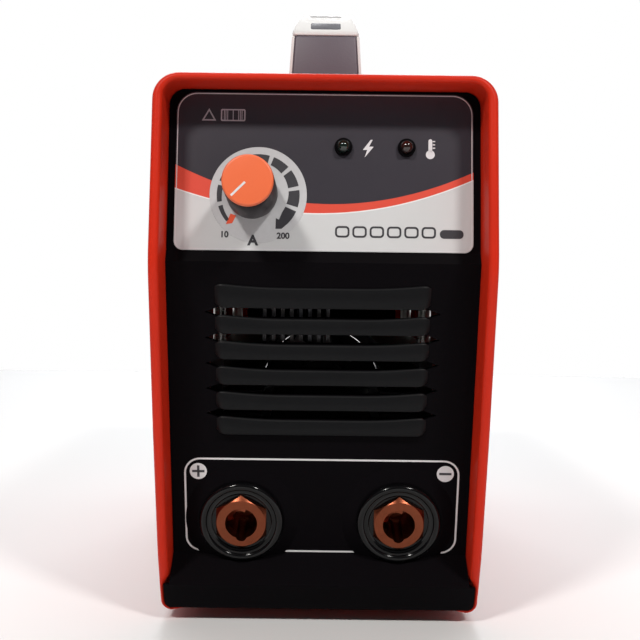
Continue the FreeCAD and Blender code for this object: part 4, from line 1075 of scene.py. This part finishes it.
@dataclass
class Handle:
    """The carrying handle: a light shell whose cheeks run down beside dark legs and bar."""
    maker: Maker
    front: float = -90.0
    back: float = 80.0
    seat: float = 219.4
    under: float = 239.0
    split: float = 247.4
    top: float = 262.0
    leg: float = 25.0
    base_half: float = 16.4
    split_half: float = 14.7
    top_half: float = 12.4
    cheek: float = 1.2
    gap: float = 0.1

    def half(self, z: float) -> float:
        """Half the width at a height."""
        if z < self.split:
            share = (z - self.seat) / (self.split - self.seat)
            return self.base_half + share * (self.split_half - self.base_half)
        share = (z - self.split) / (self.top - self.split)
        return self.split_half + share ** 1.6 * (self.top_half - self.split_half)

    def prism(self, outline: Sequence[Point], low: float, high: float, width: float) -> bpy.types.Mesh:
        """A side outline carried across the handle, with rounded edges.

        Args:
            outline: points (y, z) of the side view, in millimetres.
            low: the first side's place, as an inset from the left face.
            high: the second side's place, as an inset from the right face, or from the left if negative.
            width: the rounding of the edges.

        Returns:
            The mesh.
        """
        rings = []
        for side in (0, 1):
            ring = []
            for y, z in outline:
                half = self.half(z)
                x = low - half if side == 0 else (half - high if high >= 0 else -half - high)
                ring.append(Vector((x * MM, y * MM, z * MM)))
            rings.append(ring)
        return bevelled(tube(rings), width * MM, 4)

    def mirrored(self, mesh: bpy.types.Mesh) -> bpy.types.Mesh:
        """The mesh's mirror image across the middle of the object."""
        copy = mesh.copy()
        copy.transform(Matrix.Scale(-1.0, 4, Vector((1.0, 0.0, 0.0))))
        copy.flip_normals()
        return copy

    def side_outline(self, inset: float) -> list[Point]:
        """The legs' and bar's side view, drawn in by an inset."""
        front, back = self.front + inset, self.back - inset
        arch_front = arc((self.front + self.leg + 9.0, self.under - 6.0), 6.0 - inset, 180, 90, 5)
        arch_back = arc((self.back - self.leg - 9.0, self.under - 6.0), 6.0 - inset, 90, 0, 5)
        return [(front, self.seat), (self.front + self.leg - inset, self.seat), *arch_front, *arch_back,
                (self.back - self.leg + inset, self.seat), (back, self.seat), (back - 3.0, self.split),
                (front + 3.0, self.split)]

    def build(self) -> None:
        """Makes the dark legs and bar, the light shell, and the dark insert in its front shoulder."""
        front, back = self.front, self.back
        inset = self.cheek + self.gap
        self.maker.piece(self.prism(self.side_outline(0.0), inset, inset, 1.0), "handle_legs", "handle_dark",
                         replaces=["handle_body"])
        cap = [(front + 3.2, self.split + 0.2), (back - 3.2, self.split + 0.2), (back - 4.4, self.split + 2.6),
               (back - 20.0, self.top - 1.0), (back - 25.0, self.top), (front + 25.0, self.top),
               (front + 20.0, self.top - 1.0), (front + 4.4, self.split + 2.6)]
        cheek = self.prism(self.side_outline(0.4), 0.0, -self.cheek, 0.35)
        shell = joined(self.prism(cap, 0.0, 0.0, 1.6), cheek, self.mirrored(cheek))
        # The shell's light grey stands partly for a grey inlay and partly for a painted highlight on the glossy
        # top of the handle.
        self.maker.piece(shell, "handle_shell", "handle_light", replaces=["handle_grip"])
        low = Vector((0.0, (front + 4.4) * MM, (self.split + 2.6) * MM))
        high = Vector((0.0, (front + 20.0) * MM, (self.top - 1.0) * MM))
        along = (high - low).normalized()
        shoulder = Plane((low + high) / 2.0, Vector((0.0, -along.z, along.y)))
        insert = slab(shoulder, in_metres(rounded(-6.6, -8.0, 6.6, -0.6, 1.2, 1.2, 6)), -1.0 * MM, 0.12 * MM)
        self.maker.piece(bevelled(insert, 0.1 * MM, 2), "handle_insert", "handle_dark", "insert_dark",
                         replaces=["handle_trim"])
        seam = slab(shoulder, in_metres(rounded(-7.0, 7.2, 7.0, 8.0, 0.1, 0.1, 2)), -0.6 * MM, 0.04 * MM)
        self.maker.piece(seam, "handle_seam", "handle_dark", "insert_dark", smooth=None)


@dataclass
class Screws:
    """Domed screw heads with a cross recess, laid over the CAD screws' heads."""
    maker: Maker
    radius: float = 3.55 * MM
    tall: float = 1.7 * MM
    inset: float = 3.6 * MM
    sunk: float = 1.48 * MM

    def head(self, normal: Vector) -> bpy.types.Mesh:
        """One head at the frame's origin, domed along a normal."""
        up = Vector((0.0, 0.0, 1.0))
        across = up.cross(normal).normalized()
        rings = []
        segments = 32
        profile = [(1.0, 0.0), (1.0, 0.35), (0.92, 0.62), (0.75, 0.84), (0.5, 0.96), (0.34, 1.0), (0.30, 0.45),
                   (0.02, 0.4)]
        for radius, out in profile:
            ring = []
            for step in range(segments):
                angle = 2.0 * math.pi * step / segments
                cross = radius if radius > 0.4 else radius * (1.0 + 0.9 * abs(math.cos(2.0 * angle)) ** 6)
                side = across * (cross * math.cos(angle)) + up * (cross * math.sin(angle))
                ring.append(side * self.radius + normal * (out * self.tall))
            rings.append(ring)
        return tube(rings)

    def build(self) -> None:
        """Sets heads on the rear panel's corners and on the fan's screws."""
        back = Vector((0.0, 1.0, 0.0))
        steel = self.maker.finishes["zinc_steel"]
        for node in ("rear_panel_screws", "fan_screws"):
            low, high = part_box(node)
            reach = high.x - self.inset
            places = [Vector((x, high.y - self.sunk, z)) for x in (-reach, reach)
                      for z in (low.z + self.inset, high.z - self.inset)]
            mesh = Repeater(Spread.POINTS, steel).repeat(self.head(back), places)
            self.maker.piece(mesh, node.replace("screws", "heads"), "zinc_steel", smooth=50.0)


@dataclass
class Studio:
    """Pale floor, soft lights and the camera; places in metres and angles in degrees."""
    reach: float = 1.0
    aim: tuple[float, float, float] = (0.0, -0.08, 0.13)
    eye: tuple[float, float, float] = (-0.001, -0.506, 0.138)
    lens: float = 53.5
    pitch: float = -2.0
    roll: float = 0.7

    def light(self, name: str, place: Vector, size: float, power: float, tint: Colour) -> None:
        """Adds one area light that faces the object."""
        lamp = bpy.data.lights.new(name, "AREA")
        lamp.shape = "RECTANGLE"
        lamp.size, lamp.size_y = size, size * 0.7
        lamp.energy = power
        lamp.color = tint
        thing = linked(name, lamp)
        thing.location = place
        thing.rotation_euler = (Vector(self.aim) - place).to_track_quat("-Z", "Y").to_euler()

    def sky(self, tree: bpy.types.NodeTree) -> None:
        """A studio that is pale behind the object and dim in front of it."""
        coordinate = tree.nodes.new("ShaderNodeTexCoord")
        split = tree.nodes.new("ShaderNodeSeparateXYZ")
        ramp = tree.nodes.new("ShaderNodeMapRange")
        ramp.interpolation_type = "SMOOTHSTEP"
        for name, number in (("From Min", -0.1), ("From Max", 0.6), ("To Min", 0.10), ("To Max", 1.0)):
            ramp.inputs[name].default_value = number
        tree.links.new(coordinate.outputs["Generated"], split.inputs[0])
        tree.links.new(split.outputs["Y"], ramp.inputs["Value"])
        tree.links.new(ramp.outputs[0], tree.nodes["Background"].inputs["Strength"])
        tree.nodes["Background"].inputs["Color"].default_value = (1.0, 1.0, 1.0, 1.0)

    def build(self) -> None:
        """Makes the floor, world, lights and camera."""
        mesh = bpy.data.meshes.new("floor")
        reach = self.reach
        mesh.from_pydata([(-reach, -reach, 0), (reach, -reach, 0), (reach, reach, 0), (-reach, reach, 0)], [],
                         [(0, 1, 2, 3)])
        floor = linked("floor", mesh)
        shader = Shader("studio_floor")
        tone = shader.noise(0.8, 2.0)
        mesh.materials.append(shader.finish(Base_Color=shader.blend(tone, (0.72, 0.72, 0.72), (0.75, 0.75, 0.75)),
                                            Roughness=tone * 0.1 + 0.6))
        world = bpy.data.worlds.new("studio")
        bpy.context.scene.world = world
        world.use_nodes = True
        self.sky(world.node_tree)
        self.light("key_left", Vector((-0.55, -1.02, 1.14)), 0.18, 11.0, (1.0, 0.97, 0.93))
        self.light("key_right", Vector((0.60, -0.98, 1.10)), 0.18, 9.6, (1.0, 0.97, 0.94))
        self.light("top", Vector((0.0, 0.2, 1.3)), 0.9, 2.5, (1.0, 1.0, 1.0))
        self.light("rear_fill", Vector((0.0, 1.35, 1.0)), 0.9, 15.0, (0.95, 0.97, 1.0))
        camera = bpy.data.cameras.new("view")
        camera.lens = self.lens
        camera.sensor_width = 36.0
        thing = linked("view", camera)
        pitch, roll = math.radians(self.pitch), math.radians(self.roll)
        turn = Matrix.Rotation(math.radians(90.0) + pitch, 4, "X") @ Matrix.Rotation(roll, 4, "Z")
        thing.matrix_world = Matrix.Translation(self.eye) @ turn
        bpy.context.scene.camera = thing
        bpy.context.scene.view_settings.view_transform = "Standard"


def materials(sockets: tuple[Vector, ...], socket_axis: Vector,
              knob_height: float) -> dict[str, bpy.types.Material]:
    """Every finish of the object, by the record's slot or by its own name."""
    red, black = (0.56, 0.022, 0.007), (0.0028, 0.0022, 0.0030)
    finishes = [
        MouldedPlastic("red_moulding", red, 0.40, 0.0006, 0.000018, gloss=0.14),
        PowderCoat("red_paint", red),
        MouldedPlastic("black_moulding", black, 0.50, 0.0005, 0.00003, gloss=0.03),
        # The slats' black is the panel's black painted lighter: painted light.
        MouldedPlastic("slat_black", (0.0055, 0.0057, 0.0065), 0.42, 0.0005, 0.00002, gloss=0.12),
        MouldedPlastic("socket_black", (0.0025, 0.0025, 0.003), 0.12, 0.0009, 0.000004, gloss=0.3),
        MouldedPlastic("insert_dark", (0.018, 0.016, 0.030), 0.35, 0.0005, 0.00001),
        MouldedPlastic("knob_black", (0.016, 0.012, 0.015), 0.42, 0.0004, 0.00002, gloss=0.3),
        PrintedFilm("printed_film", knob_height),
        Ink("ring_print", (0.56, 0.56, 0.575), 0.30),
        MouldedPlastic("knob_orange", (0.80, 0.150, 0.052), 0.36, 0.0004, 0.00001, 0.04),
        Ink("pointer_white", (0.82, 0.82, 0.80)), Ink("print_white", (0.72, 0.71, 0.72)),
        # The notice signs' grey ink is the white ink painted darker: painted shade where the hood's shadow falls.
        Ink("print_pale", (0.70, 0.68, 0.70)), Ink("print_grey", (0.46, 0.42, 0.46)),
        Ink("print_dark", (0.035, 0.033, 0.040)), Ink("print_red", (0.80, 0.09, 0.03)),
        MouldedPlastic("handle_dark", (0.103, 0.085, 0.108), 0.45, 0.0006, 0.00003),
        # Light grey shell: partly a grey inlay, partly a painted highlight on the handle's glossy top.
        MouldedPlastic("handle_light", (0.66, 0.655, 0.65), 0.38, 0.0006, 0.00002, 0.05),
        TurnedContact("brass_contact", (0.23, 0.064, 0.032), sockets, socket_axis),
        WorkedMetal("copper", (0.78, 0.34, 0.18), 0.30),
        WorkedMetal("zinc_steel", (0.60, 0.60, 0.58), 0.30),
        WorkedMetal("galvanised", (0.48, 0.50, 0.52), 0.42, (1.0, 0.2, 1.0)),
        WorkedMetal("chrome_wire", (0.70, 0.70, 0.70), 0.18),
        MouldedPlastic("rubber_black", (0.016, 0.016, 0.017), 0.72, 0.0004, 0.00006),
        LampLens("lens_green", (0.003, 0.010, 0.007)), LampLens("lens_amber", (0.016, 0.005, 0.004)),
        CircuitBoard("circuit_board"),
        WorkedMetal("heatsink_metal", (0.10, 0.10, 0.11), 0.42, (1.0, 0.1, 1.0)),
        MouldedPlastic("ferrite", (0.040, 0.040, 0.043), 0.62, 0.0003, 0.00006),
        Winding("winding"),
        MouldedPlastic("fan_plastic", (0.014, 0.014, 0.015), 0.40),
        MouldedPlastic("capacitor_sleeve", (0.020, 0.028, 0.075), 0.25, coat=0.3),
        MouldedPlastic("rocker_red", (0.45, 0.020, 0.012), 0.30, coat=0.3),
    ]
    return {finish.name: finish.material() for finish in finishes}


def dress_cad(finishes: dict[str, bpy.types.Material]) -> None:
    """Gives every CAD node the material of its slot."""
    slots = {entry["node"]: entry["material_slot"] for entry in frame["record"]["subparts"]}
    for name, thing in frame["nodes"].items():
        thing.data.materials.clear()
        thing.data.materials.append(finishes[slots[name]])


def main() -> None:
    """Builds every sub-assembly around the frame."""
    joints = {joint["name"]: joint for joint in frame["joints"]}
    mounts = {mount["name"]: mount for mount in frame["record"]["mounts"]}
    shaft = joints["knob_turn"]
    knob_x, _, knob_height = shaft["pos_m"]
    label = Plane(Vector((0.0, *shaft["pos_m"][1:])), Vector(shaft["axis"]))
    socket_axis = Vector(mounts["positive_socket"]["axis"]).normalized()
    sockets = tuple(Vector(mounts[name]["pos_m"]) for name in ("positive_socket", "negative_socket"))
    sink = 6.3 * MM
    lower = Plane(Vector((0.0, *(sockets[0] + socket_axis * sink).yz)), socket_axis)
    finishes = materials(sockets, socket_axis, knob_height)
    dress_cad(finishes)
    maker = Maker(finishes)
    Hood(maker).build()
    Louvre(maker, lower).build()
    Sockets(maker, lower, tuple(socket.x for socket in sockets)).build()
    dial_low, dial_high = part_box("dial_ring")
    Print(maker, label, lower, (dial_low.x + dial_high.x) / 2.0).build()
    Knob(maker, label, knob_x).build()
    Handle(maker).build()
    Screws(maker).build()
    Studio().build()
    log.info("%d pieces made", maker.count)


if __name__ == "__main__":
    main()
